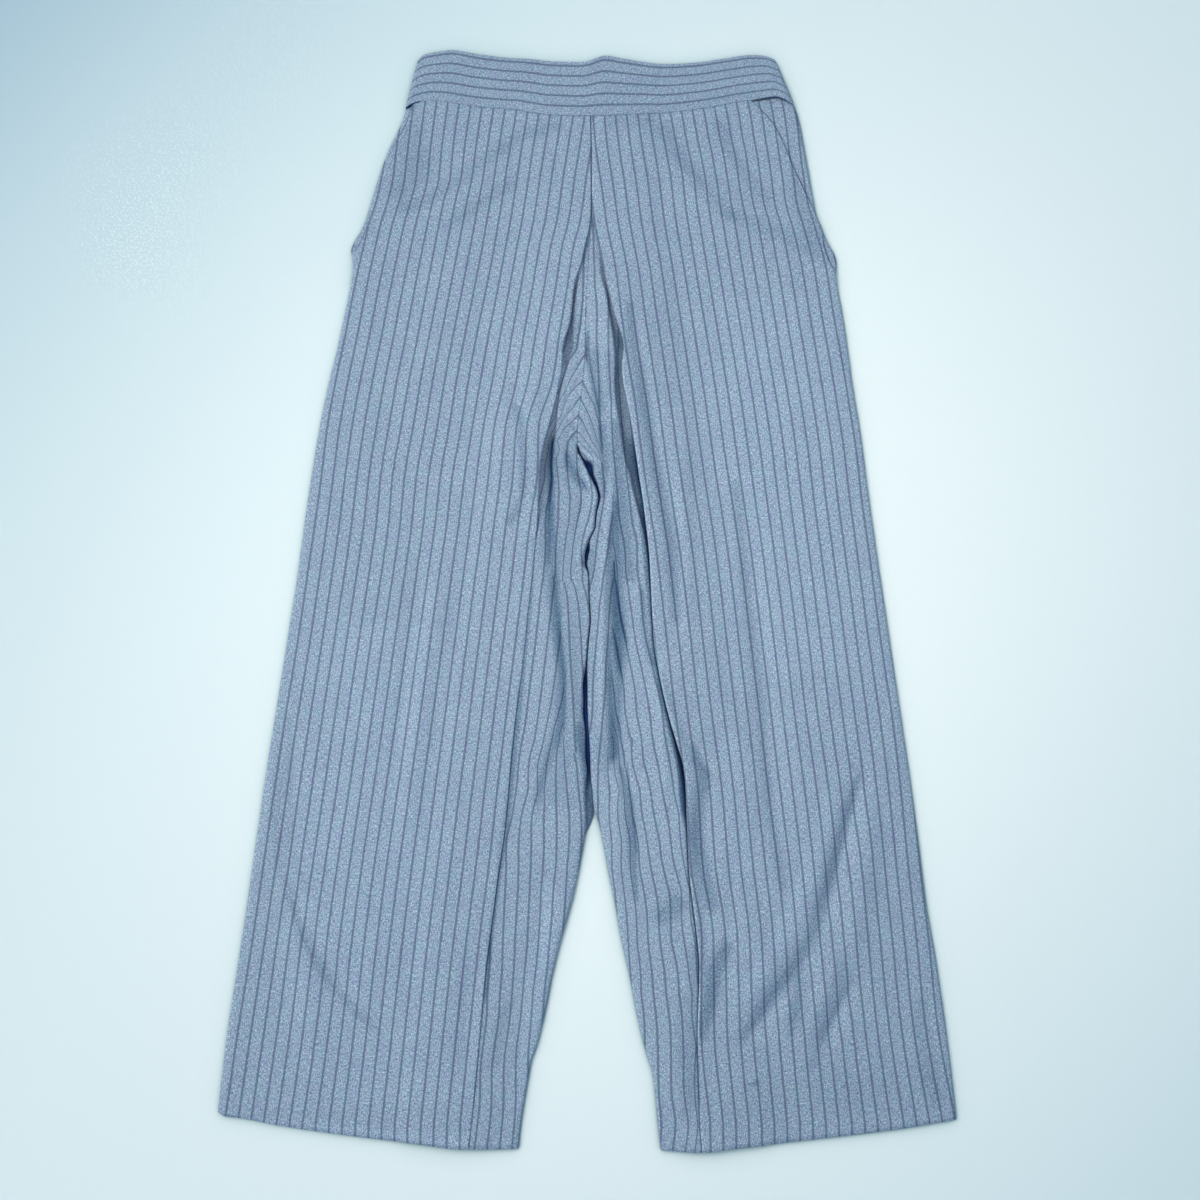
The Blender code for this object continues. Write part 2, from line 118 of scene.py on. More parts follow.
# The visible edge of each crease, which wavers more than the pattern's line
CREASE_COLUMNS = ("y", "crease_left", "crease_right")
CREASE_ROWS = (
    (425, 2.0, 2.0),
    (397, 2.4, 2.4),
    (360, 3.0, 3.0),
    (313, 3.0, 3.0),
    (290, 0.6, 6.8),
    (270, -3.6, 11.0),
    (239, -12.0, 18.0),
    (224, -13.0, 20.8),
    (209, -15.2, 25.0),
    (196, -19.0, 29.2),
    (189, -20.6, 30.0),
    (171, -21.0, 28.4),
    (159, -23.6, 29.3),
    (144, -26.4, 32.3),
    (127, -30.2, 35.5),
    (109, -35.0, 38.3),
    (94, -38.0, 40.4),
    (79, -39.5, 42.4),
    (59, -40.5, 45.4),
    (39, -41.5, 47.9),
    (14, -43.6, 50.6),
    (-6, -45.4, 51.6),
    (-41, -49.0, 53.0),
    (-61, -50.8, 54.2),
    (-86, -53.6, 58.2),
    (-106, -56.4, 62.4),
    (-126, -58.6, 67.4),
    (-146, -60.6, 73.4),
    (-161, -62.0, 77.4),
    (-176, -63.0, 79.0),
    (-201, -65.2, 79.8),
    (-221, -67.2, 80.4),
    (-246, -71.0, 81.6),
    (-268, -73.6, 84.0),
    (-320, -80.0, 89.0),
    (-375, -84.5, 87.0),
    (-432, -89.5, 88.0),
    (-465, -93.0, 90.0),
)

# The centre front seam, and below the crotch the two inner leg edges: how high the cloth stands there, how
# far its edge turns down, and over what width
INNER_COLUMNS = ("y", "inner_left", "inner_right", "height", "drop", "width_left", "width_right")
INNER_ROWS = (
    (425, 2.12, 1.88, 0.2, 0.2, 0.5, 0.5),
    (313, 3.12, 2.88, 0.6, 0.2, 0.5, 0.5),
    (270, 0.92, 0.68, 1.6, 0.2, 0.5, 0.5),
    (225, -1.18, -1.42, 3.2, 0.25, 0.5, 0.5),
    (190, -1.88, -2.12, 3.8, 0.3, 0.5, 0.5),
    (170, -3.1, -3.34, 3.6, 0.35, 0.5, 0.5),
    (158, -4.1, -4.34, 3.6, 0.4, 0.6, 0.6),
    (130, -7.4, -7.62, 3.8, 0.4, 0.6, 0.6),
    (112, -8.4, -8.6, 4.4, 0.4, 0.6, 0.6),
    (106, -8.4, -8.5, 4.8, 0.6, 0.7, 0.7),
    (104, -8.7, -7.4, 5.0, 3.6, 0.9, 0.9),
    (100, -7.9, -6.4, 5.2, 5.2, 1.2, 1.2),
    (96, -5.3, -4.0, 5.4, 5.4, 1.4, 1.6),
    (94, -4.5, -2.4, 5.5, 5.5, 1.5, 2.2),
    (92.5, -3.7, 0.6, 5.6, 5.6, 1.6, 3.0),
    (91, -2.9, 2.8, 5.7, 5.7, 1.6, 3.6),
    (88, -1.7, 3.9, 5.8, 5.8, 1.6, 3.2),
    (84.6, 0.2, 4.3, 6.0, 6.0, 1.6, 2.4),
    (81, 1.7, 5.0, 6.2, 6.2, 1.6, 1.8),
    (77.5, 3.4, 6.4, 6.3, 6.3, 1.6, 1.4),
    (72.8, 5.5, 8.1, 6.4, 6.4, 1.6, 1.4),
    (69.3, 7.4, 9.0, 6.4, 6.4, 1.6, 1.4),
    (65.8, 8.3, 10.0, 6.3, 6.3, 1.6, 1.4),
    (62.2, 9.1, 10.7, 6.2, 6.2, 1.6, 1.4),
    (59.9, 9.1, 10.4, 6.1, 6.1, 1.6, 1.4),
    (55, 8.2, 9.3, 5.9, 5.9, 1.6, 1.4),
    (50.5, 7.3, 8.0, 5.6, 5.6, 1.6, 1.4),
    (43.4, 6.5, 7.0, 5.2, 5.2, 1.6, 1.4),
    (36, 6.0, 6.5, 4.9, 4.9, 1.6, 1.4),
    (32, 4.4, 4.9, 4.8, 4.8, 1.6, 1.4),
    (28, 2.4, 3.0, 4.7, 4.7, 1.6, 1.4),
    (24, 0.6, 1.5, 4.6, 4.6, 1.6, 1.4),
    (20, -0.6, 1.8, 4.5, 4.5, 1.6, 1.4),
    (16, -1.6, 1.6, 4.4, 4.4, 1.8, 1.4),
    (14, -2.1, 0.9, 4.4, 4.4, 2.2, 1.4),
    (10, -1.9, 0.3, 4.4, 4.4, 3.8, 1.4),
    (6, -1.9, -0.4, 4.4, 4.4, 5.2, 1.4),
    (2.7, -1.5, 0.0, 4.4, 4.4, 3.2, 1.4),
    (0.7, -0.3, 0.6, 4.4, 4.4, 1.8, 1.4),
    (-2.7, 0.6, 1.0, 4.4, 3.4, 1.2, 1.1),
    (-8, 1.2, 1.4, 4.4, 2.4, 1.0, 0.9),
    (-16, 1.2, 1.4, 4.5, 2.2, 1.0, 0.9),
    (-22.7, 1.5, 1.7, 4.6, 2.2, 1.0, 0.9),
    (-34.7, 2.0, 2.5, 4.6, 2.6, 1.0, 0.9),
    (-42, 2.1, 2.7, 4.7, 3.0, 1.1, 1.0),
    (-51, 1.2, 1.9, 4.9, 3.0, 1.1, 1.0),
    (-61, 0.3, 0.9, 5.0, 3.0, 1.1, 1.0),
    (-76, -0.8, -0.1, 5.0, 4.0, 1.3, 1.2),
    (-87.7, -2.6, -0.2, 4.8, 4.8, 1.6, 1.4),
    (-94, -3.6, 0.0, 4.7, 4.7, 1.8, 1.4),
    (-107.7, -3.2, 0.0, 4.6, 4.6, 2.4, 1.4),
    (-116, -3.4, 0.2, 4.5, 4.5, 3.6, 1.4),
    (-125, -2.5, 0.6, 4.4, 4.4, 6.0, 1.4),
    (-134, -1.5, 1.1, 4.3, 4.3, 8.4, 1.6),
    (-140, -1.5, 1.7, 4.2, 4.2, 8.0, 1.6),
    (-146, -1.5, 2.0, 4.1, 4.1, 6.8, 1.6),
    (-152, -1.5, 2.3, 4.0, 4.0, 5.0, 1.8),
    (-158, -0.9, 2.4, 3.9, 3.9, 3.4, 1.8),
    (-164, -0.1, 2.5, 3.8, 3.8, 2.6, 2.0),
    (-172, -0.4, 3.0, 3.6, 3.6, 2.6, 2.2),
    (-180, -1.2, 4.0, 3.5, 3.5, 2.8, 2.6),
    (-190, -1.0, 4.8, 3.3, 3.3, 3.0, 3.0),
    (-196, -0.8, 5.8, 3.2, 3.2, 3.2, 3.4),
    (-201, -0.8, 7.4, 3.2, 3.2, 3.6, 4.0),
    (-208, -0.8, 9.6, 3.1, 3.1, 4.6, 5.0),
    (-222, -3.0, 12.8, 2.9, 2.9, 6.0, 6.0),
    (-245, -7.2, 17.0, 2.7, 2.7, 6.0, 6.0),
    (-267, -12.0, 21.6, 2.6, 2.6, 6.0, 6.0),
    (-297, -20.5, 27.0, 2.3, 2.3, 6.0, 6.0),
    (-327, -28.0, 33.8, 2.1, 2.1, 6.0, 6.0),
    (-355, -33.6, 39.2, 1.9, 1.9, 6.0, 6.0),
    (-383, -40.6, 45.8, 1.8, 1.8, 5.5, 5.5),
    (-393, -44.6, 49.0, 1.8, 1.8, 5.5, 5.5),
    (-402, -46.0, 52.0, 1.7, 1.7, 5.5, 5.5),
    (-441, -52.3, 56.0, 1.6, 1.6, 5.5, 5.5),
    (-465, -54.6, 58.5, 1.5, 1.5, 5.5, 5.5),
)

# How far each crease stands up from the layers under it
LIFT_COLUMNS = ("y", "lift_left", "lift_right")
LIFT_ROWS = (
    (425, 0.0, 0.0),
    (313, 0.0, 0.0),
    (280, 1.0, 2.0),
    (240, 3.0, 5.6),
    (210, 5.0, 8.4),
    (195, 5.5, 9.0),
    (175, 4.5, 9.0),
    (155, 3.5, 9.2),
    (135, 5.0, 9.2),
    (120, 7.0, 9.0),
    (105, 8.4, 8.8),
    (90, 8.4, 8.4),
    (75, 7.4, 8.0),
    (60, 4.0, 7.4),
    (45, 1.6, 6.4),
    (20, 0.6, 5.0),
    (-40, 0.3, 3.4),
    (-90, 0.3, 3.6),
    (-120, 0.3, 5.6),
    (-190, 0.2, 5.4),
    (-250, 0.2, 2.2),
    (-360, 0.2, 1.2),
    (-465, 0.2, 0.8),
)

# How far the slanted pocket mouth lies inside the side edge, and how far the side edge bulges out at its
# foot
POCKET_COLUMNS = ("y", "mouth_left", "mouth_right", "bulge_left", "bulge_right")
POCKET_ROWS = (
    (425, 6.0, 45.0, 0.0, 0.0),
    (408, 5.0, 36.0, 0.0, 0.0),
    (384, 3.4, 23.0, 0.0, 0.0),
    (352, 1.8, 12.0, 0.0, 0.0),
    (328, 1.4, 4.9, 0.0, 0.0),
    (310, 1.4, 1.1, 0.2, 0.0),
    (296, 3.4, 0.9, 1.8, 1.4),
    (284, 5.3, 3.0, 5.8, 2.0),
    (278, 3.6, 5.4, 6.6, 3.6),
    (270, 0.6, 6.2, 3.6, 4.8),
    (262, 0.0, 2.8, 1.4, 3.4),
    (254, 0.0, 0.0, 0.2, 0.8),
    (240, 0.0, 0.0, 0.0, 0.0),
)

# The waistband's two long edges, a row for each place along it
BAND_COLUMNS = ("lower_x", "lower_y", "upper_x", "upper_y")
BAND_ROWS = (
    (-158.0, 405.4, -148.2, 450.0),
    (-150.0, 409.6, -141.5, 455.2),
    (-136.5, 412.4, -130.0, 457.6),
    (-124.0, 411.7, -118.0, 459.0),
    (-98.0, 407.5, -94.0, 454.8),
    (-72.0, 405.2, -68.5, 451.6),
    (-62.0, 404.6, -59.0, 451.2),
    (-48.0, 401.0, -46.0, 450.2),
    (-36.0, 398.7, -34.0, 448.6),
    (-7.0, 397.6, -6.0, 447.8),
    (11.0, 398.0, 15.0, 453.8),
    (30.0, 398.7, 30.0, 451.2),
    (68.0, 401.5, 66.0, 446.0),
    (97.0, 405.1, 92.0, 447.2),
    (132.0, 411.2, 123.0, 451.8),
    (150.0, 413.8, 141.0, 454.4),
    (163.0, 415.8, 151.0, 454.0),
    (170.0, 413.6, 157.0, 452.6),
    (178.0, 408.8, 162.4, 450.2),
)

# The hems' edges, left leg and then right
HEM_COLUMNS = ("x", "y")
HEM_ROWS = (
    (-292.0, -430.0),
    (-284.6, -434.2),
    (-274.0, -435.2),
    (-244.0, -440.7),
    (-181.0, -449.4),
    (-137.0, -454.3),
    (-94.0, -458.8),
    (-54.0, -458.8),
    (58.0, -460.0),
    (88.0, -461.0),
    (119.0, -457.9),
    (191.0, -450.1),
    (246.0, -443.6),
    (281.0, -438.1),
    (292.0, -436.4),
)

# Where the underlay climbs out of the dark valley beside each crease: distance outwards of its shoulder,
# width of the climb and height of the cloth beyond it
SHOULDER_COLUMNS = (
    "y", "shoulder_left", "climb_left", "height_left", "shoulder_right", "climb_right", "height_right",
)
SHOULDER_ROWS = (
    (425, 4.0, 6.0, 2.4, 4.0, 6.0, 2.4),
    (300, 4.0, 6.0, 2.8, 8.0, 6.0, 3.0),
    (255, 6.5, 3.0, 4.2, 10.0, 3.0, 4.6),
    (240, 8.5, 3.0, 4.8, 14.0, 3.0, 6.6),
    (210, 11.5, 3.0, 5.4, 18.5, 3.5, 8.6),
    (195, 10.5, 3.5, 5.8, 20.5, 3.5, 10.0),
    (180, 13.5, 3.5, 6.0, 22.0, 3.0, 10.4),
    (160, 20.0, 2.0, 6.0, 21.5, 3.0, 10.4),
    (140, 24.0, 2.0, 6.4, 23.0, 3.0, 10.2),
    (120, 25.5, 1.4, 7.0, 26.0, 3.5, 10.0),
    (100, 27.4, 1.2, 7.4, 28.5, 4.0, 9.8),
    (80, 27.6, 1.6, 7.0, 33.5, 4.0, 9.6),
    (60, 27.6, 2.4, 6.2, 38.0, 3.5, 9.0),
    (45, 36.5, 4.0, 6.2, 42.0, 3.0, 8.8),
    (30, 40.8, 1.2, 6.3, 45.8, 2.2, 9.0),
    (20, 42.4, 0.8, 6.1, 47.6, 1.6, 8.9),
    (0, 44.1, 0.7, 5.95, 49.6, 1.2, 8.9),
    (-20, 46.1, 0.7, 5.85, 50.9, 1.0, 8.7),
    (-40, 48.2, 0.7, 5.8, 51.8, 0.9, 8.6),
    (-60, 50.0, 0.7, 5.8, 52.9, 0.9, 8.6),
    (-80, 52.1, 0.8, 5.75, 55.8, 1.0, 8.7),
    (-100, 54.6, 0.9, 5.7, 59.7, 1.1, 9.2),
    (-120, 56.9, 1.0, 5.6, 64.0, 1.5, 9.6),
    (-140, 58.9, 1.0, 5.6, 69.0, 2.1, 9.5),
    (-165, 61.1, 1.1, 5.5, 74.2, 2.6, 9.2),
    (-180, 62.1, 1.1, 5.5, 76.6, 2.4, 9.2),
    (-200, 63.9, 1.1, 5.5, 78.0, 1.7, 9.1),
    (-215, 65.3, 1.1, 5.5, 79.2, 1.1, 9.1),
    (-230, 67.2, 1.2, 5.4, 79.7, 0.9, 8.2),
    (-250, 70.2, 1.2, 5.4, 80.9, 0.8, 7.4),
    (-270, 72.5, 1.2, 5.4, 83.2, 0.8, 7.2),
    (-295, 75.8, 1.2, 5.4, 86.1, 1.1, 6.8),
    (-320, 78.7, 1.2, 5.4, 87.9, 1.2, 7.0),
    (-350, 81.3, 1.1, 5.5, 87.3, 0.8, 6.9),
    (-375, 83.4, 1.0, 5.5, 86.5, 0.7, 6.8),
    (-400, 85.5, 1.0, 5.5, 86.8, 0.7, 6.7),
    (-432, 88.5, 0.9, 5.5, 87.6, 0.7, 6.6),
    (-465, 92.1, 0.9, 5.5, 89.4, 0.7, 6.5),
)

# The light and shade beside each crease, from -0.5 (bright) to 1 (black): on the crease's own rim, then, over
# the width of the valley beside it, next to the crease and at the valley's far side
VALLEY_COLUMNS = (
    "y", "rim_left", "wide_left", "near_left", "far_left",
    "rim_right", "wide_right", "near_right", "far_right",
)
VALLEY_ROWS = (
    (300, 0.0, 1.5, 0.0, 0.0, 0.0, 1.5, 0.0, 0.0),
    (270, -0.1, 2.0, -0.2, 0.0, 0.0, 2.0, 0.1, 0.0),
    (240, -0.2, 2.0, -0.3, 0.0, 0.0, 2.5, 0.1, 0.0),
    (225, -0.1, 2.0, -0.2, -0.3, 0.0, 3.0, 0.1, 0.0),
    (210, -0.1, 2.0, 0.0, -0.3, 0.0, 4.0, 0.2, 0.2),
    (195, -0.3, 6.0, -0.3, -0.1, 0.0, 4.5, 0.55, 0.4),
    (180, -0.3, 3.5, -0.3, -0.2, -0.2, 4.5, 0.3, 0.1),
    (165, -0.3, 2.0, -0.5, -0.4, -0.5, 5.0, 0.3, 0.1),
    (150, -0.2, 1.5, -0.5, -0.4, -0.5, 6.0, 0.25, 0.15),
    (135, -0.2, 2.0, -0.4, -0.4, -0.5, 7.0, 0.25, 0.35),
    (120, -0.3, 5.0, -0.3, 0.1, -0.5, 8.0, 0.2, 0.25),
    (105, -0.4, 7.0, -0.1, 0.7, -0.5, 7.5, 0.65, 0.4),
    (90, -0.5, 9.0, -0.1, 0.6, -0.5, 6.0, 0.8, 0.45),
    (75, -0.5, 11.5, -0.15, 0.5, -0.5, 5.5, 0.85, 0.25),
    (60, -0.4, 10.5, -0.2, 0.3, -0.4, 4.5, 0.8, 0.2),
    (45, -0.4, 6.5, -0.1, 0.1, -0.4, 5.0, 0.85, 0.2),
    (30, -0.3, 4.0, 0.0, 0.1, -0.4, 5.5, 0.8, 0.25),
    (0, -0.2, 2.5, 0.0, 0.0, -0.4, 5.0, 0.7, 0.25),
    (-30, -0.2, 2.5, 0.0, 0.0, -0.4, 4.0, 0.6, 0.15),
    (-60, -0.2, 2.5, 0.0, 0.0, -0.4, 3.0, 0.5, 0.1),
    (-90, -0.2, 2.5, 0.1, 0.0, -0.4, 3.5, 0.8, 0.2),
    (-120, -0.2, 2.5, 0.1, 0.0, -0.4, 4.0, 0.9, 0.25),
    (-150, -0.2, 2.5, 0.15, 0.0, -0.4, 5.0, 0.85, 0.45),
    (-165, -0.2, 2.5, 0.15, 0.0, -0.3, 5.5, 0.9, 0.55),
    (-180, -0.2, 2.5, 0.2, 0.0, -0.3, 5.5, 0.9, 0.55),
    (-195, -0.2, 2.5, 0.2, 0.0, -0.3, 4.5, 0.9, 0.55),
    (-210, -0.2, 2.5, 0.2, 0.0, -0.3, 2.6, 0.6, 0.3),
    (-225, -0.2, 2.5, 0.25, 0.0, -0.4, 2.0, 0.5, 0.2),
    (-260, -0.2, 2.5, 0.3, 0.0, -0.4, 2.0, 0.5, 0.1),
    (-290, -0.2, 2.5, 0.3, 0.0, -0.2, 2.0, 0.6, 0.1),
    (-318, -0.2, 2.5, 0.3, 0.0, -0.1, 2.2, 0.6, 0.3),
    (-340, -0.2, 2.5, 0.3, 0.0, -0.3, 2.0, 0.4, 0.1),
    (-465, -0.2, 2.5, 0.2, 0.0, -0.3, 2.0, 0.2, 0.0),
)

# Soft folds: where each lies, its half width, height (below zero for a trough), lean (which of its sides is
# the steeper one) and its path from end to end
FOLDS = (
    # the right panel: long soft troughs down to the hem, and the swells between them
    ("right panel", 70, 5.4, 0, (178, -90), (182, -200), (172, -310), (160, -452)),
    ("right panel", 8.1, -5.6, 0.3, (228, -158), (217, -193), (208, -224), (200, -252), (191, -276),
     (182, -302)),
    ("right panel", 9, -5, 0.3, (188, -282), (176, -310), (160, -334), (142, -356), (118, -386)),
    ("right panel", 9.9, 3, 0, (232, -190), (222, -250), (206, -320)),
    ("right panel", 9, -3, 0.2, (116, -220), (113, -280), (112, -350)),
    ("right panel", 7.2, 2.7, 0, (205, -300), (184, -345), (160, -392)),
    ("right panel", 6.3, -4.2, 0.2, (216, -322), (202, -351), (184, -390)),
    ("right panel", 7.2, -2.7, 0, (170, -318), (168, -350), (168, -378)),
    ("right panel", 9.9, -2.7, 0, (132, 60), (140, -60), (150, -170), (160, -262)),
    ("right panel", 60, 2.4, 0, (120, 240), (128, 120), (134, 0), (140, -110)),
    ("right panel", 7, -4, 0, (37, 225), (45, 165), (54, 115), (63, 65), (72, 20), (75, -40),
     (77, -90)),
    ("right panel", 8.1, 2.3, 0, (78, 160), (79, 60), (80, -20), (84, -90)),
    ("right panel", 7.2, -1.9, 0, (42, 225), (38, 190), (38, 165)),
    ("right panel", 12.6, 3.2, 0, (40, 372), (110, 325), (160, 292), (200, 268)),
    ("right panel", 12.6, -2.5, 0, (60, 388), (110, 358), (160, 325)),
    ("right panel", 3.6, -1.1, 0, (98, 80), (160, 86), (228, 84)),
    ("right panel", 8.1, -4.9, 0, (85, -140), (90, -190), (91, -250), (96, -300), (104, -350)),
    ("right panel", 3.6, -2.3, 0.6, (97, -158), (102, -172), (96, -190)),
    ("right panel", 9, 2.7, 0, (112, -170), (112, -215), (115, -280)),
    ("right panel", 6.3, -1.9, 0, (92, -360), (90, -400), (90, -440)),
    # the left panel
    ("left panel", 55, 3.4, 0, (-165, 60), (-180, -100), (-178, -260), (-176, -430)),
    ("left panel", 16.2, 2.5, 0, (-232, -230), (-222, -320), (-206, -420)),
    ("left panel", 7, -3.2, 0, (-245, -110), (-243, -232), (-226, -284), (-206, -318), (-186, -342),
     (-158, -364)),
    ("left panel", 12.6, 2.1, 0, (-118, 40), (-140, -120), (-156, -240)),
    ("left panel", 8.1, -2.7, 0, (-130, 48), (-148, -100), (-160, -236)),
    ("left panel", 7.2, -2.7, 0, (-56, 172), (-60, 128), (-59, 90), (-60, 40)),
    ("left panel", 8.1, 3, 0, (-40, 178), (-46, 150), (-50, 110), (-50, 70)),
    ("left panel", 12.6, 3, 0, (-38, 362), (-95, 335), (-148, 303)),
    ("left panel", 12.6, -2.5, 0, (-84, 372), (-130, 345), (-172, 318)),
    ("left panel", 14.4, 1.9, 0, (-96, 300), (-122, 220), (-150, 130)),
    ("left panel", 3.6, -1.1, 0, (-96, 80), (-150, 86), (-222, 90)),
    ("left panel", 8.1, -2.3, 0, (-88, -300), (-94, -360), (-100, -425)),
    # the left underlay
    ("left under", 2.2, -1.6, 0, (-2, 234), (-5, 214), (-9, 190), (-17, 177)),
    ("left under", 1.6, -1.2, 0, (-5, 181), (-10, 171), (-13, 164)),
    ("left under", 2, 1, 0, (-5, 173), (-10, 166), (-16, 155)),
    ("left under", 1.6, -1.3, 0, (-5, 162), (-11, 155), (-17, 147), (-23, 131)),
    ("left under", 1.4, -1, 0, (-19.5, 168), (-18, 156), (-18, 146)),
    ("left under", 1.5, -1.2, 0, (-7, 146), (-14, 137), (-20, 128), (-25, 119)),
    ("left under", 1.5, -1, 0, (-8, 132), (-15, 125), (-22, 118), (-24, 115)),
    ("left under", 1.5, -0.8, 0, (-9, 125), (-14, 120), (-20, 112)),
    ("left under", 1.4, -0.7, 0, (-10, 117), (-14, 111), (-18, 106)),
    ("left under", 3.2, -1.6, 0, (-18, 106), (-17.5, 95), (-16, 82), (-14, 66)),
    ("left under", 2.6, -1.2, 0, (-9, 88), (-6, 74), (-2, 66)),
    ("left under", 3, -1.5, 0, (-3, 66), (-3, 56), (-6, 44), (-11, 26)),
    ("left under", 2.4, -1.3, 0, (-20, 24), (-23, 0), (-22, -22)),
    ("left under", 3, -1.2, 0, (-29, 30), (-27, 0), (-25, -30), (-21, -60), (-18, -90), (-19, -135)),
    ("left under", 3, 1.4, 0, (-18, -20), (-14, -60), (-12, -100), (-12, -140)),
    ("left under", 2, -1.4, 0, (-19, -20), (-22, -50), (-17, -72)),
    ("left under", 4, -1, 0, (-24, -118), (-31, -145), (-36, -172), (-40, -198)),
    ("left under", 5, 0.9, 0, (-56, -196), (-35, -193), (-12, -190)),
    ("left under", 5, -0.8, 0, (-52, -208), (-35, -212), (-20, -212)),
    ("left under", 6, -0.8, 0, (-40, -215), (-35, -290), (-40, -350)),
    # the right underlay
    ("right under", 2.6, -1.8, 0.3, (0, 205), (1, 185), (5, 160), (9, 138), (11, 112), (13, 94)),
    ("right under", 1.6, 1, 0, (-3, 178), (1, 162), (5, 146), (8, 132), (10, 112)),
    ("right under", 1.5, -1.1, 0, (-4, 159), (0, 151), (5, 141)),
    ("right under", 1.5, -1.2, 0, (-6, 146), (-2, 138), (3, 127), (8, 110), (12, 96)),
    ("right under", 1.8, -1.8, 0, (-7, 130), (-3, 124), (-2, 118), (0, 111)),
    ("right under", 1.4, -0.8, 0, (-9, 118), (-3, 112), (3, 104), (9, 97)),
    ("right under", 2, 1, 0, (-6, 101), (2, 98), (9, 92), (14, 83), (18, 72)),
    ("right under", 3.4, -2, 0, (13, 94), (15, 84), (16, 76), (14, 64), (12, 50), (9, 36)),
    ("right under", 3.6, 2.4, 0, (15, 86), (19, 68), (18, 52), (15, 20), (12, -20), (12, -80),
     (11, -150)),
    ("right under", 4, -3.4, 0.2, (21, 60), (22, 30), (23, 0), (25, -35), (28, -62)),
    ("right under", 2.4, -2.6, 0, (21, -46), (24, -65), (28, -90)),
    ("right under", 2.6, -1.8, 0, (20, -70), (20, -110), (20, -152)),
    ("right under", 2.4, -2, 0, (24, -118), (27, -145), (30, -180), (34, -205), (36, -245), (38, -268)),
    ("right under", 1.8, -1.6, 0, (17, -155), (16.5, -166), (18, -180)),
    ("right under", 4, 1.4, 0, (50, -60), (60, -120), (64, -160), (62, -215)),
    ("right under", 3, -1.2, 0, (44, -30), (47, -55), (54, -82)),
    ("right under", 14, -1, 0, (60, -265), (62, -300)),
    ("right under", 5, 0.9, 0, (22, -185), (24, -215), (26, -245)),
)

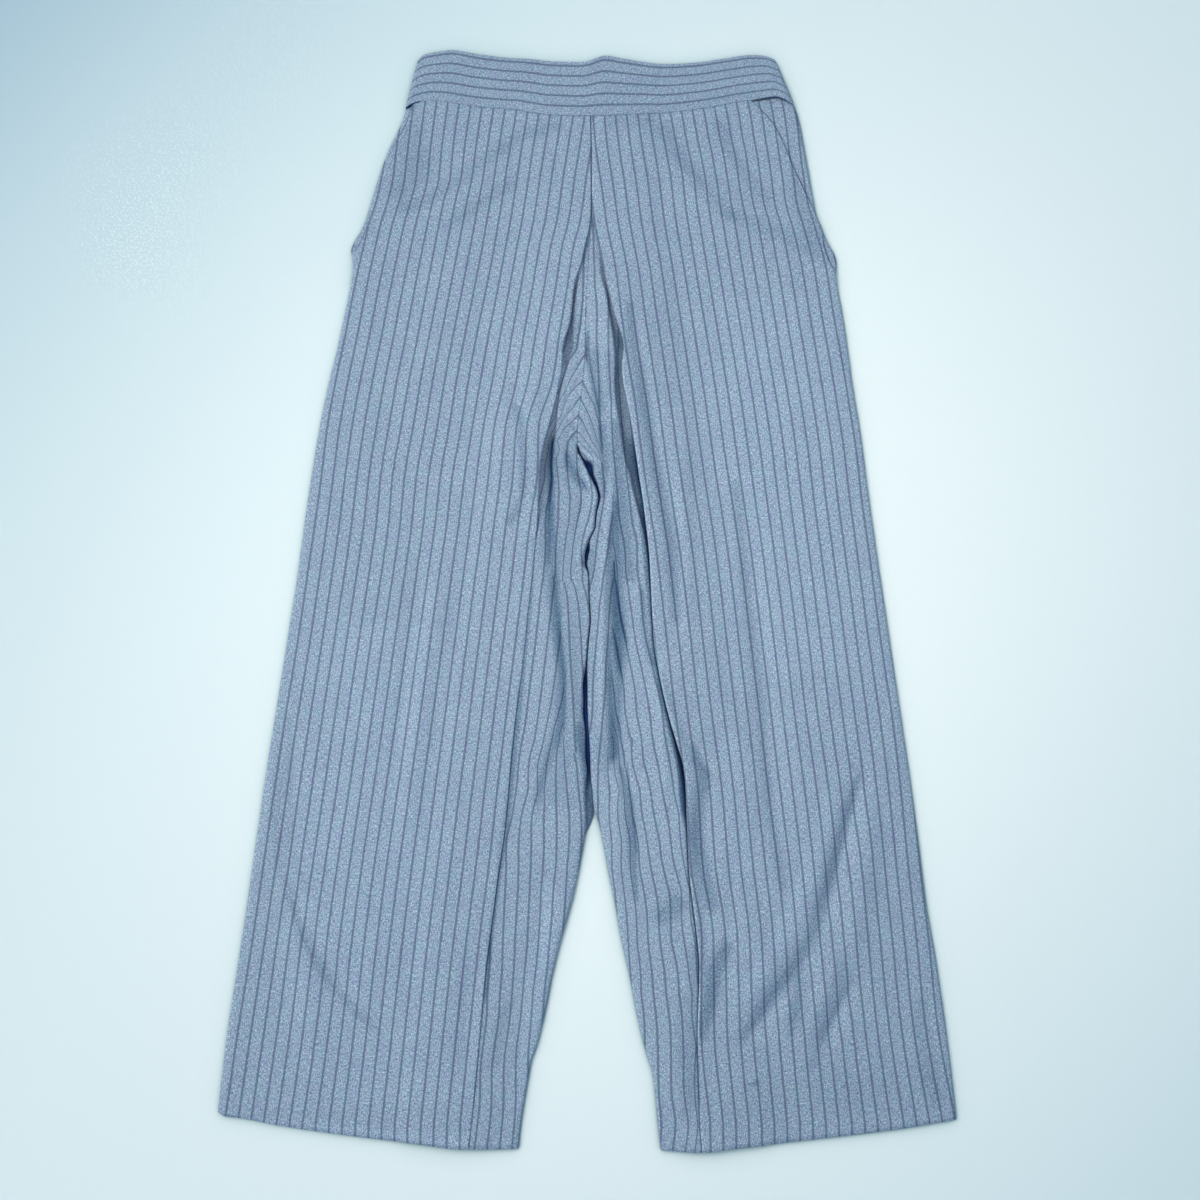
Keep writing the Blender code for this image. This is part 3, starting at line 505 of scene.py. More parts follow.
# Painted shade where the cloth lies deep between folds, and painted highlight where the depth is below zero
# and the cloth would catch the light: the place, depth of the shade, and a path of points with the shade's
# half width at each. A place that names a leg alone is on its panel and its underlay.
SHADES = (
    # on the left panel
    ("left panel", 0.11, (-155, 398, 9), (-148, 350, 16), (-170, 320, 10)),
    ("left panel", 0.14, (-18, 391, 5), (-60, 378, 6.5), (-86, 360, 7), (-112, 339, 7.5),
     (-140, 321, 7), (-166, 311, 5)),
    ("left panel", 0.11, (-58, 340, 4), (-85, 323, 5.5), (-110, 306, 5.5), (-128, 294, 4)),
    ("left panel", 0.26, (-62, 144, 3), (-57, 128, 4), (-54, 105, 4), (-53, 80, 4), (-54, 62, 3.5),
     (-62, 44, 4), (-67, 34, 3)),
    ("left panel", -0.06, (-170, -40, 50), (-180, -250, 70), (-170, -430, 80)),
    ("left panel", 0.1, (-243, -114, 2.5), (-241, -160, 3), (-240, -212, 3.5), (-234, -240, 3.5),
     (-222, -266, 3)),
    ("left panel", 0.16, (-240, -262, 2), (-226, -299, 3.2), (-206, -330, 3.8), (-186, -351, 3.8),
     (-163, -371, 2.5)),
    ("left panel", 0.3, (-278, -381, 0.4), (-270, -381.5, 0.5), (-262, -382, 0.3)),
    ("left panel", -0.14, (-276, -438, 2), (-200, -444, 4), (-120, -451, 4), (-78, -454, 3)),
    # on the right panel
    ("right panel", 0.13, (112, 398, 6), (122, 368, 6), (140, 340, 6), (160, 318, 8)),
    ("right panel", 0.1, (12, 394, 8), (62, 394, 8)),
    ("right panel", 0.13, (62, 392, 8), (78, 362, 7), (92, 340, 6), (112, 318, 6), (132, 300, 6)),
    ("right panel", 0.13, (176, 352, 4), (180, 325, 7), (188, 300, 9), (200, 275, 8)),
    ("right panel", 0.12, (112, 312, 4), (142, 300, 6), (168, 289, 7), (190, 276, 7), (207, 262, 4)),
    ("right panel", -0.06, (155, 240, 40), (158, 140, 60), (165, 0, 60), (180, -90, 50)),
    ("right panel", 0.22, (34, 232, 3), (37, 205, 4), (42, 180, 4), (47, 150, 4.5), (52, 120, 4.5),
     (57, 90, 4.5), (63, 60, 5), (70, 25, 5.5), (72, -10, 5), (73, -48, 4)),
    ("right panel", 0.3, (31.4, 190, 0.8), (30.2, 171, 0.8), (31.2, 159, 0.8), (34.2, 144, 0.8),
     (37.3, 127, 0.8), (40.2, 109, 0.8), (42.2, 94, 0.8), (44.2, 79, 0.8), (47, 59, 0.8),
     (49.6, 39, 0.8)),
    ("right panel", 0.16, (122, 80, 4), (126, 40, 5), (129, 0, 5), (136, -60, 4.5), (142, -115, 4),
     (144, -160, 4), (148, -200, 4.5), (154, -240, 5), (158, -264, 4)),
    ("right panel", 0.16, (60, -82, 2), (69, -112, 3.5), (80, -145, 4), (88, -165, 5)),
    ("right panel", -0.08, (116, -130, 8), (122, -190, 12), (126, -250, 10)),
    ("right panel", 0.3, (84, -138, 1.5), (90, -158, 4), (93, -176, 6), (90, -195, 6), (88, -215, 6.5),
     (93, -240, 6), (98, -264, 6), (101, -281, 3.5)),
    ("right panel", 0.26, (90, -156, 2), (98, -168, 3), (105, -171, 1.5)),
    ("right panel", 0.24, (222, -163, 2.5), (212, -192, 4), (203, -222, 5), (195, -250, 5.5),
     (186, -274, 6), (178, -298, 6), (168, -316, 6), (154, -334, 5.5), (138, -354, 5), (118, -380, 3)),
    ("right panel", -0.1, (200, -178, 5), (186, -218, 8), (166, -276, 8), (148, -306, 7),
     (122, -348, 6)),
    ("right panel", 0.3, (96, -184, 0.5), (99, -178, 1), (103, -170, 0.6)),
    ("right panel", 0.32, (118, -298, 3), (109, -307, 6.5), (102, -324, 7.5), (98, -342, 7),
     (93, -362, 5), (88, -380, 3.5)),
    ("right panel", 0.12, (172, -316, 4), (171, -345, 6), (165, -374, 5)),
    ("right panel", 0.13, (169, -322, 2.5), (166, -345, 4), (158, -378, 4)),
    ("right panel", 0.14, (212, -325, 3), (199, -350, 4), (188, -368, 4.5), (180, -388, 4),
     (173, -403, 3)),
    ("right panel", 0.08, (97, -330, 4), (97, -380, 4), (96, -440, 3)),
    ("right panel", 0.1, (266, -338, 5), (264, -365, 7), (272, -400, 9), (280, -432, 7)),
    ("right panel", 0.3, (57, -407.5, 0.3), (92, -409.5, 0.5), (157, -408, 0.3)),
    ("right panel", 0.06, (104, -428, 16), (200, -416, 20), (282, -412, 20)),
    # on the left underlay
    ("left under", 0.34, (-10, 252, 2), (-13, 232, 3.2), (-15, 210, 4.2), (-16.5, 190, 4.4),
     (-21, 172, 2.5)),
    ("left under", 0.16, (-12, 200, 3), (-11, 180, 3)),
    ("left under", 0.11, (-14, 130, 8), (-14, 100, 12), (-14, 40, 15), (-14, -60, 13), (-16, -140, 14),
     (-28, -195, 18)),
    ("left under", 0.14, (-5, 125, 4), (-6, 100, 6), (-7, 75, 6)),
    ("left under", 0.34, (-28, 118, 2.5), (-28.5, 90, 4), (-30, 64, 4), (-32, 30, 3), (-33, 0, 1.5)),
    ("left under", 0.25, (-17.5, 108, 1.8), (-17.5, 82, 2.4)),
    ("left under", 0.34, (-18, 104, 2), (-15, 90, 3.5), (-10, 78, 4), (-3, 70, 3.5), (1, 64, 2)),
    ("left under", -0.15, (-9.5, 98, 1.2), (-5.5, 89, 1.6), (-0.5, 77, 1.8), (4.6, 67, 1.8),
     (5, 58, 1.8), (4, 45, 1.8), (-2, 28, 1.8), (-8, 12, 1.6), (-9, 4, 1.4)),
    ("left under", 0.5, (-7, 81, 0.3), (-4.5, 75, 0.5), (-2.5, 71, 0.6), (0, 67, 0.6), (2.4, 63, 0.4)),
    ("left under", 0.35, (-31, 78, 0.6), (-31.4, 60, 0.8), (-32, 46, 0.6), (-33, 34, 0.3)),
    ("left under", 0.12, (-30, 66, 3), (-31, 45, 4), (-30, 20, 3), (-29, -20, 1)),
    ("left under", 0.2, (-33, 60, 6), (-33, 20, 9), (-30, -10, 8), (-25, -45, 6), (-21, -80, 5),
     (-22, -120, 5), (-25, -150, 3)),
    ("left under", 0.16, (-28, 40, 1), (-26.5, 0, 2), (-24.5, -30, 2.4), (-22, -60, 2.2),
     (-18.5, -90, 2), (-19, -134, 1.6)),
    ("left under", 0.3, (-4.6, 12, 1.2), (-5, 6, 2), (-3.2, 1, 1)),
    ("left under", 0.22, (-29, 0, 3), (-27, -30, 4), (-25, -60, 4), (-20, -85, 3.5), (-19, -105, 3),
     (-22, -130, 4), (-31, -155, 4), (-39, -178, 3.5), (-43, -197, 2.5)),
    ("left under", 0.12, (-26, -120, 1), (-31, -146, 2), (-36, -172, 2), (-41, -210, 0.6)),
    ("left under", 0.4, (-6.5, -122, 2), (-6.5, -134, 3.6), (-5, -146, 3.2), (-3.6, -156, 2.4),
     (-2.2, -170, 2), (-1.2, -186, 2), (-0.4, -202, 1.6)),
    ("left under", -0.1, (-28, -250, 6), (-38, -320, 9), (-50, -440, 9)),
    ("left under", 0.12, (-60, -343, 4), (-70, -368, 5), (-75, -402, 5)),
    ("left under", -0.14, (-74, -455, 4), (-54, -456, 3)),
    # on the right underlay
    ("right under", 0.45, (0, 208, 1.2), (0.6, 185, 1.8), (5, 160, 1.2), (9, 138, 1), (11, 112, 1.2),
     (12.6, 94, 1)),
    ("right under", 0.25, (6, 194, 3.5), (8, 160, 5), (12, 130, 3)),
    ("right under", 0.18, (17, 190, 3), (18, 160, 3.5), (20, 138, 3)),
    ("right under", 0.11, (6, 160, 8), (10, 100, 12), (14, 40, 14), (14, -60, 14), (16, -170, 12)),
    ("right under", 0.3, (23, 130, 3), (26, 90, 5.5), (28, 50, 7.5), (32, 15, 7), (36, -15, 4.5)),
    ("right under", 0.22, (10, 128, 4), (13, 105, 5), (14, 80, 4), (15, 62, 2)),
    ("right under", -0.25, (-5.5, 101.5, 1), (0, 98, 1.6), (4, 95.3, 1.7), (8.4, 92.2, 1.5),
     (11.5, 89, 1.4), (13.8, 84, 1.3)),
    ("right under", 0.5, (-1.6, 93.4, 0.8), (2.6, 91, 1.6), (4.4, 87.6, 2), (4.6, 84.6, 1.6),
     (5.4, 80, 0.8)),
    ("right under", -0.15, (13.8, 86, 1.6), (16.6, 76, 1.8), (19, 67, 2), (18.4, 54, 2.4),
     (16, 32, 2.6), (13.6, 8, 2.6), (12, -20, 3), (11, -80, 3.4), (10.5, -140, 2.5)),
    ("right under", 0.18, (12, 70, 3), (16, 58, 3)),
    ("right under", 0.35, (21, 66, 0.8), (21.2, 40, 1.4), (20, 16, 1.6)),
    ("right under", 0.34, (23.5, 62, 1.5), (24.5, 20, 2.5), (26, -10, 4.5), (27, -40, 6),
     (27, -65, 6.5), (25, -90, 5.5), (24, -110, 4), (22, -130, 5), (21, -148, 5.5), (19, -161, 3)),
    ("right under", 0.22, (4, 22, 2), (3, 5, 2.5), (4, -10, 1.5)),
    ("right under", 0.7, (21, 13, 0.5), (22.3, -2.7, 0.8), (24, -14.7, 0.9), (25.7, -26, 1),
     (27.7, -39, 1), (29.7, -48.5, 1), (31.3, -56, 0.8), (33.4, -66, 0.5)),
    ("right under", 0.35, (22, 12, 1.5), (21.5, -10, 3), (22, -30, 4.5), (24, -50, 5.5),
     (25.5, -66, 3.5), (28, -92, 0.8)),
    ("right under", 0.3, (44, -10, 1.8), (47.5, -50, 2.6), (54, -84, 2.4)),
    ("right under", 0.5, (22, -49, 0.7), (23, -57.7, 0.8), (24.7, -66, 0.8), (26.3, -76, 0.6),
     (28, -87, 0.4)),
    ("right under", 0.3, (17.5, -50, 1.5), (18, -80, 2.5), (19, -110, 3), (21, -135, 3.5),
     (22, -150, 3), (18.5, -162, 1.8)),
    ("right under", 0.45, (24.5, -116, 0.6), (27.5, -140, 0.9), (31.6, -161, 1), (33.5, -174, 1),
     (36, -189, 1.2), (38, -207, 1.4), (40.5, -236, 1.2)),
    ("right under", 0.38, (26, -157, 1.5), (30, -172, 2.2), (33, -188, 2.6), (36, -215, 3),
     (38, -245, 2.6), (40, -272, 1.5)),
    ("right under", 0.25, (52, -286, 6), (66, -276, 9), (78, -262, 8)),
    ("right under", 0.14, (84, -300, 3), (84, -360, 4), (82, -430, 4)),
    ("right under", 0.12, (76, -335, 7), (76, -390, 7), (78, -445, 6)),
    ("right under", 0.3, (57, -407.5, 0.4), (92, -409.5, 0.5), (157, -408, 0.3)),
    # along the left crease, on both sides of it
    ("left", 0.36, (-43.4, 30, 1.2), (-46.4, -20, 1.8), (-50.6, -60, 2), (-54.6, -100, 2.6),
     (-61, -165, 3), (-65, -205, 3), (-70.5, -245, 2.6), (-75.5, -285, 2.3), (-79, -320, 2),
     (-81, -350, 1.2)),
)

# How far the left back reaches past the front's edge where the gap between the legs opens: a tongue of
# cloth whose painted shade stands in for the shadow on the floor there
TONGUE_COLUMNS = ("y", "reach")
TONGUE_ROWS = (
    (-198, 6.4),
    (-202, 5.8),
    (-206, 4.4),
    (-210, 2.8),
    (-214, 1.2),
    (-218, 0.0),
    (-465, 0.0),
)

# Painted shade on the back where it shows through the gap between the legs, and on the left back's tongue
# below the crotch, where it stands in for the shadow on the floor
GAP_SHADE_COLUMNS = ("y", "dark")
GAP_SHADE_ROWS = (
    (440, 0.6),
    (108, 0.8),
    (102, 1.0),
    (-160, 1.0),
    (-170, 0.8),
    (-180, 0.55),
    (-192, 0.45),
    (-214, 0.4),
    (-224, 0.0),
    (-465, 0.0),
)

# How folds and shades fade
FOLD_ENDS = 0.3  # share of a fold's length over which each of its ends dies away
FOLD_EDGE = 12.0  # width beside a front's side edge over which its folds rise
BRIGHTEST, DARKEST = -0.5, 1.0  # ends of the scale of shades
SHADE_ENDS = 8.0  # length over which a shade fades at each end of its path
RIM_WIDTH = 2.4  # of a crease's own light or shade
RIM_TURN = -0.4  # share of it that is left, turned about, where the crease's fold meets the return
VALLEY_SOFT = 2.0  # width over which a valley's far side turns light
HIDDEN_SHADE = 0.5  # painted shade on the inside of a pleat
MOUTH_SHADE = 0.6  # how dark the painted shade along the edge of a pocket's mouth is
MOUTH_EDGE = 0.9  # width of that painted shade
MOUTH_SHADE_START = 1.0  # depth of the mouth where its shade starts
MOUTH_SHADE_RISE = 3.0  # further depth over which that shade comes to its full
BAND_SHADE = 0.04  # how much darker the band is than the legs
BAND_EDGE = 0.02  # share of the band's width that the painted shade along its lower edge takes
BAND_EDGE_SHADES = (  # where that painted shade starts and ends, and how dark it is
    (-160.0, -146.0, 0.9),
    (146.0, 172.0, 0.3),
)
GAP_PARTS = -184.0  # level below which the two legs' edges part
GAP_OPENS = -198.0  # level below which the floor shows between them
GAP_REACH = 30.0  # how far from the middle the backs carry the gap's painted shade

# The distance between stripes, and where the stripes numbered 1, 6, 11 and 16 from the side edge run on
# each outer panel
STRIPE_PITCH = 10.15
PANEL_STRIPES = (1, 6, 11, 16)
STRIPE_COLUMNS = ("y", "first", "sixth", "eleventh", "sixteenth")
LEFT_STRIPES = (
    (440, -158.5, -108, -57.5, -8),
    (400, -162, -113, -62.5, -12.5),
    (380, -164, -115.5, -65.5, -15.5),
    (360, -166, -117.5, -68.5, -18.5),
    (340, -168, -119, -71, -21.5),
    (320, -172, -123.5, -74, -24),
    (300, -177.5, -127.5, -77, -27),
    (280, -181.5, -131, -80, -31.5),
    (240, -189, -137.5, -87, -37.5),
    (200, -195.5, -144, -94.5, -44),
    (160, -202.5, -151, -101, -50),
    (120, -208.5, -157, -106.5, -59.5),
    (80, -212.5, -163, -113, -62),
    (40, -216.5, -165.5, -117, -67.5),
    (0, -221, -170, -122, -72),
    (-60, -228, -177.5, -129, -79),
    (-120, -236, -185, -136, -86),
    (-180, -243.5, -192.5, -143.5, -93),
    (-240, -250.5, -200.5, -151, -99.5),
    (-300, -257.5, -207.5, -157.5, -106.5),
    (-360, -265, -213, -163.5, -112.5),
    (-440, -274.5, -223.5, -171.5, -120),
)

RIGHT_STRIPES = (
    (440, 162, 112, 63.5, 17),
    (400, 170.5, 120.5, 71.5, 23.5),
    (380, 172.5, 123.5, 75, 25.5),
    (360, 174.5, 127.5, 78.5, 28),
    (340, 177, 130, 81.5, 31),
    (320, 179, 132, 83.5, 33.5),
    (300, 184, 136, 86, 36),
    (260, 193, 142, 92, 43),
    (220, 198.5, 148, 98, 48),
    (180, 204.5, 153.5, 104, 53.5),
    (140, 210, 159.5, 109.5, 59.5),
    (100, 215, 164.5, 114.5, 64.5),
    (60, 218.5, 168.5, 120, 70),
    (20, 223, 173, 125.5, 76),
    (-60, 231.5, 182, 134.5, 85),
    (-120, 238.5, 188, 141, 91.5),
    (-180, 244, 195, 146.5, 99),
    (-240, 248.5, 200.5, 153, 103),
    (-300, 253.5, 204.5, 158, 110.5),
    (-360, 258, 209.5, 161, 110.5),
    (-440, 269.5, 218.5, 167.5, 117),
)

# The underlays: each patch of cloth between two folds, with its stripes, numbered, and points along each.
# First the left one above the crotch, its inner strip beside the leg's edge, and the rest of it.
LEFT_UPPER_STRIPES = (
    (-2, (-13, 300), (-14, 260), (-15, 225), (-20, 190)),
    (-1, (-3, 280), (-4, 240), (-5.5, 220), (-8, 200), (-10, 188), (-17, 176)),
    (0, (4, 200), (-5, 180), (-9, 172), (-13, 165), (-19, 152)),
    (1, (-4.5, 161), (-10, 156), (-16, 149), (-19.5, 140), (-24, 128)),
    (2, (-6, 147), (-11, 140), (-17, 132), (-22, 125), (-25, 118), (-28, 100), (-30, 80), (-33, 60),
     (-35, 40), (-36, 0)),
    (3, (-8, 131), (-14, 125), (-20, 119), (-25, 109), (-26, 95), (-25, 80), (-24, 60), (-24.5, 40),
     (-26.5, 0)),
    (4, (-9, 118), (-14, 112), (-17, 103), (-17, 90), (-16.5, 80), (-14.5, 60), (-15.5, 40),
     (-18.5, 20), (-20, 0)),
    (5, (-9, 92), (-8, 80), (-5.5, 62), (-9, 40), (-12, 20), (-14, 0)),
    (6, (-2, 92), (1, 80), (4, 62), (0, 40), (-5, 20), (-4, 0)),
)
LEFT_INNER_STRIPES = (
    (4, (-18.5, 20), (-20, 0), (-17, -20), (-15.5, -40), (-14.5, -60), (-13.5, -80), (-12, -100),
     (-10, -140)),
    (4, (-8.5, -160), (-7, -180), (-5, -200)),
    (5, (-12, 20), (-14, 0), (-9, -20), (-6.5, -40), (-5, -60), (-4, -80), (-2.5, -100), (0, -140)),
    (3, (-26, -20), (-24, -60), (-22, -100), (-19.5, -140), (-18.5, -160), (-16.5, -180)),
)
LEFT_LOWER_STRIPES = (
    (1, (-48, -20), (-53, -60), (-60, -120), (-69, -200), (-76, -260), (-79, -340), (-84, -420)),
    (2, (-38.5, -20), (-42.5, -60), (-47.5, -100), (-53, -140), (-57.5, -180), (-60.5, -200),
     (-65, -220)),
    (2, (-65, -240), (-66.5, -280), (-67.5, -320), (-70, -360), (-75, -400), (-75, -420), (-78, -455)),
    (3, (-28.5, -20), (-33, -60), (-37.5, -100), (-43, -140), (-48, -180), (-53, -200), (-55, -220)),
    (3, (-55.5, -260), (-57.5, -300), (-59.5, -340), (-64, -380), (-65.5, -420), (-68, -455)),
    (4, (-23, -60), (-28, -100), (-35.5, -140), (-40, -180), (-44.5, -200), (-45, -230)),
    (4, (-46, -260), (-47.5, -300), (-51, -340), (-55.5, -380), (-56, -420), (-58.5, -455)),
    (5, (-24, -120), (-29, -140), (-33, -160), (-35, -180), (-35, -210), (-35.5, -240)),
    (5, (-37, -260), (-39, -300), (-43, -340), (-46, -380), (-46.5, -420), (-49, -455)),
    (6, (-22.5, -140), (-25, -160), (-25, -180), (-24.5, -210), (-25, -240), (-27, -260), (-30, -300),
     (-34, -340)),
    (7, (-19.5, -140), (-18.5, -160), (-16.5, -180), (-14.5, -200), (-16, -240), (-17, -260),
     (-20, -300)),
    (8, (-10, -140), (-8.5, -160), (-7, -180), (-5, -200), (-5, -225)),
    (9, (1, -160), (3, -180), (4, -200)),
)

# The right one above the crotch, the cloth at the crotch, its inner strip and the rest of it
RIGHT_UPPER_STRIPES = (
    (6, (23, 260), (26, 220), (26, 200), (25.5, 180), (26, 160), (27.5, 140), (28.5, 120), (30.5, 100),
     (32.5, 80)),
    (6, (35, 60), (37, 40)),
    (5, (13, 260), (16.5, 240), (17.5, 220), (17.5, 200), (18, 180), (19, 160), (20, 140), (20.5, 120),
     (21.5, 100)),
    (5, (23.5, 80), (25, 60), (27, 40)),
    (4, (5, 280), (6, 260), (6.5, 240), (8, 220), (7.5, 200), (8.5, 180), (9.5, 160), (10, 140),
     (11, 120)),
    (4, (12.5, 100), (14, 80), (16, 60)),
    (3, (-5, 260), (-4, 240), (-2.5, 215), (-1.5, 190), (0, 160), (1, 130), (3, 100), (6, 60)),
)
RIGHT_CROTCH_STRIPES = (
    (4, (2, 172), (6, 158), (11, 140), (15, 120)),
    (3, (-4, 160), (0, 151), (5, 141), (8, 130), (12, 110), (16, 92)),
    (2, (-6, 146), (-2, 138), (3, 127), (8, 110), (12, 96), (15, 84)),
    (1, (-7, 130), (-3, 124), (0, 117), (4, 108), (10, 97)),
    (0, (-9, 118), (-3, 111), (2, 104), (8, 95)),
)
RIGHT_INNER_STRIPES = (
    (-4, (12, 88), (13, 80), (14, 62), (10.5, 40), (7.5, 20), (5.5, 0), (1, -20), (-1, -60)),
    (-3, (23, 70), (20.5, 45), (17, 20), (14, 0), (11.5, -20), (9.5, -40), (7.5, -60), (5.5, -80),
     (4.5, -100)),
    (-3, (4, -120), (1, -140)),
    (-2, (25, 10), (19, -20), (17.5, -40), (16.5, -60), (15, -80), (14.5, -100), (12.5, -120),
     (11, -140)),
    (-2, (9, -160), (8.5, -180)),
)
RIGHT_LOWER_STRIPES = (
    (7, (52, 40), (56, 0), (60, -60), (68, -100), (76, -160), (80, -200), (86, -260), (92, -340),
     (97, -440)),
    (6, (32.5, 80), (37, 40), (41, 0), (45.5, -40), (48.5, -60), (55, -90), (61, -120), (67, -160),
     (74, -200)),
    (6, (78, -240), (82, -260), (86, -300), (89, -340)),
    (5, (23.5, 80), (27, 40), (31.5, 0), (37, -40), (44, -80), (51, -120), (57.5, -160), (64.5, -200),
     (70, -240)),
    (5, (75.5, -280), (80.5, -320), (83.5, -360), (86, -380), (87, -440)),
    (4, (22, 20), (25, 0), (27.5, -40), (31.5, -60), (39, -100), (44, -140), (51, -180), (58, -220),
     (65.5, -260)),
    (4, (67.5, -300), (73, -340), (76, -380), (77, -420), (78, -455)),
    (3, (23, -60), (30, -100), (36.5, -140), (42.5, -180), (48, -220), (55, -260), (58.5, -300),
     (63, -340)),
    (3, (66.5, -380), (67, -420), (68, -455)),
    (2, (24, -120), (27, -140), (30.5, -160), (36.5, -200), (42, -240), (48, -280), (53, -340),
     (56, -380)),
    (2, (57, -420), (58, -455)),
    (1, (25, -140), (29, -180), (34.5, -220), (37, -260), (40, -300), (43, -340), (46, -380)),
    (0, (22, -160), (26, -180), (27.5, -220), (29.5, -260), (33, -300), (36, -340)),
    (-1, (17, -160), (18, -180), (18, -200), (20, -240), (22.5, -260)),
    (-2, (9, -160), (8.5, -180), (9, -200)),
)

# The fold lines between each inner strip and the cloth under it, and at the crotch, from the top down
LEFT_STRIP_LINE = ((-25, -10), (-22, -50), (-16, -74), (-19, -95), (-19.5, -130), (-16, -150))
CROTCH_LINE = ((-6, 187), (-3.5, 182), (2, 172), (6, 155), (8, 140), (10, 120), (13, 100), (15, 86))
RIGHT_STRIP_LINE = (
    (16, 90), (20.5, 68), (21.5, 30), (21, -20), (19.5, -60), (19, -100), (19.8, -140), (14, -160),
)
FIELD_SCALE = 20.0  # distance by which the map of a patch's stripes is measured
FIELD_EASE = 1e-3  # how far that map may ease off the points

# Stitches: each kind's spacing, length and thread width, and where its lines run
POCKET_STITCH = (3.2, 2.4, 0.6)
HEM_STITCH = (9.0, 1.1, 0.4)
STITCH_SHARES = (0.85, 1.1)  # of their length that the shortest and the longest stitch have
STITCH_SEED = 7
STITCH_RAISE = 0.12  # how far a stitch's middle stands above the cloth
STITCH_LINE_POINTS = 60
POCKET_STITCH_INSET = 4.5  # from the mouth's edge
POCKET_STITCH_HEAD = 2.0  # from the waist
POCKET_STITCH_FOOT = 22.0  # above the pocket's foot
HEM_TURN = 48.0  # depth of the hem turned up inside
HEM_STITCH_INSETS = (8.0, 4.0, 5.0, 6.0)  # from the side edge, both sides of the crease and the inner edge
LOOK_DOWN_FROM = 0.1  # metres above the floor from which the cloth's height is found

# Yarns, as drawn: how fast each noise changes across and along the cloth for each millimetre, its scale,
# detail and roughness. The warp's yarns run along the stripes, about 0.8 mm apart, a little coarser than
# life so that they show.
YARNS = (
    ("warp", 1.25, 0.4, 1.0, 1.0, 0.5),
    ("weft", 0.3, 1.0, 1.1, 2.0, 0.6),
    ("fleck", 1.2, 0.9, 0.9, 1.0, 0.5),
    ("cloud", 0.06, 0.03, 1.0, 2.0, 0.5),
    ("hue", 0.16, 0.09, 1.0, 3.0, 0.6),
    ("slate tone", 0.09, 0.03, 1.0, 1.0, 0.5),
)
# Their colours, by the noise that mixes them, and those of the cloth's painted shade from BRIGHTEST to
# DARKEST
YARN_COLOURS = (
    ("warp", ((0.36, "#6c859f"), (0.46, "#87a2bb"), (0.54, "#99b4ca"), (0.64, "#bfd3e3"))),
    ("fleck", ((0.36, "#5c7693"), (0.46, "#86a1bb"), (0.55, "#9dbad0"), (0.66, "#d2e4f0"))),
    ("weft", ((0.32, "#c4c8d0"), (0.5, "#ecedf0"), (0.68, "#ffffff"))),
    ("slate tone", ((0.4, "#4a5776"), (0.5, "#485b73"), (0.6, "#456073"))),
    ("hue", ((0.34, "#f2e8ff"), (0.5, "#f6f6f8"), (0.66, "#e6ffff"))),
    ("cloud", ((0.35, "#f7f7fa"), (0.65, "#ffffff"))),
    ("shade", ((0.0, "#ffffff"), (0.333, "#d4d4d4"), (0.6, "#9ba6ad"), (0.833, "#466078"), (1.0, "#1a3569"))),
)
FLECK_SHARE = 0.5  # of the warp that is fleck yarns
WEFT_STRENGTH = 0.8  # how far the weft's tone shows
TONES = (("hue", 0.5), ("cloud", 1.0), ("shade", 1.0))  # laid over the woven cloth, and how far each shows
CLOTH_BRIGHTNESS = (1.59, 1.53, 1.48)  # on the mixed yarns' red, green and blue
WARP_RELIEF, FLECK_RELIEF = 0.6, 0.5  # shares of the yarns' height
YARN_HEIGHT = 0.6  # by which they stand up, as drawn
THREAD_TWISTS = 1.8  # in the sewing thread, for each millimetre
THREAD_HEIGHT = 0.1  # by which its strands stand up
STRIPE_WIDTH = 1.75
BAND_STRIPE_WIDTH = 2.0
STRIPE_WAVER = 0.55  # how far the yarns' unevenness moves a stripe's edge
STRIPE_CORE, STRIPE_RIM = 0.28, 0.72  # where a stripe starts to fade and ends, as shares of its width
STRIPE_STRENGTH = 0.92
STRIPE_FLECK = 0.22  # share of the pale yarns' colour within a stripe

# The flat sizes that the pieces are cut to, in metres
AREA_LEVELS = 101  # at which a piece's width is read for its flat area

# The studio, in metres
FLOOR_HALF = 6.0  # half its width
FLOOR_STOPS = (  # share of the painted fall-off of light across the floor, and its colour there
    (0.0, "#deedf2"),
    (0.25, "#dbecf1"),
    (0.45, "#d5e8ee"),
    (0.65, "#cae0e8"),
    (0.82, "#bbd4df"),
    (1.0, "#a2c0d0"),
)
FLOOR_MIDDLE = (0.112, -0.083, 0.0)  # of the floor's brightest part
FLOOR_TURN = (0.0, 0.0, 0.832)  # of its fall-off, in radians
FLOOR_SPREAD = (1.56, 0.862, 1.0)  # how far its fall-off reaches
CONTACT_REACH = 0.02  # how near the cloth the painted contact shadow on the floor reaches
CONTACT_STOPS = ((0.5, "#9fb5b8"), (0.72, "#d3dfe0"), (0.97, "#ffffff"))
LAMPS = (  # name, place, target, size, watts and the beam's angle in degrees
    ("window_light", (-4.2, 1.4, 5.4), (-0.05, 0.0, 0.0), 4.2, 415.0, 180.0),
    ("overhead_light", (0.03, 0.02, 3.0), (0.03, 0.04, 0.0), 0.5, 0.42, 22.0),
)
LAMP_COLOUR = "#fff0e0"
SKY_COLOUR = "#d8edff"
SKY_STRENGTH = 0.54
CAMERA_TARGET = (0.01035, -0.02322, 0.0)
CAMERA_AWAY = 1.12
CAMERA_TILT = 7.47  # degrees, towards the hems
LENS, SENSOR = 40.55, 36.0

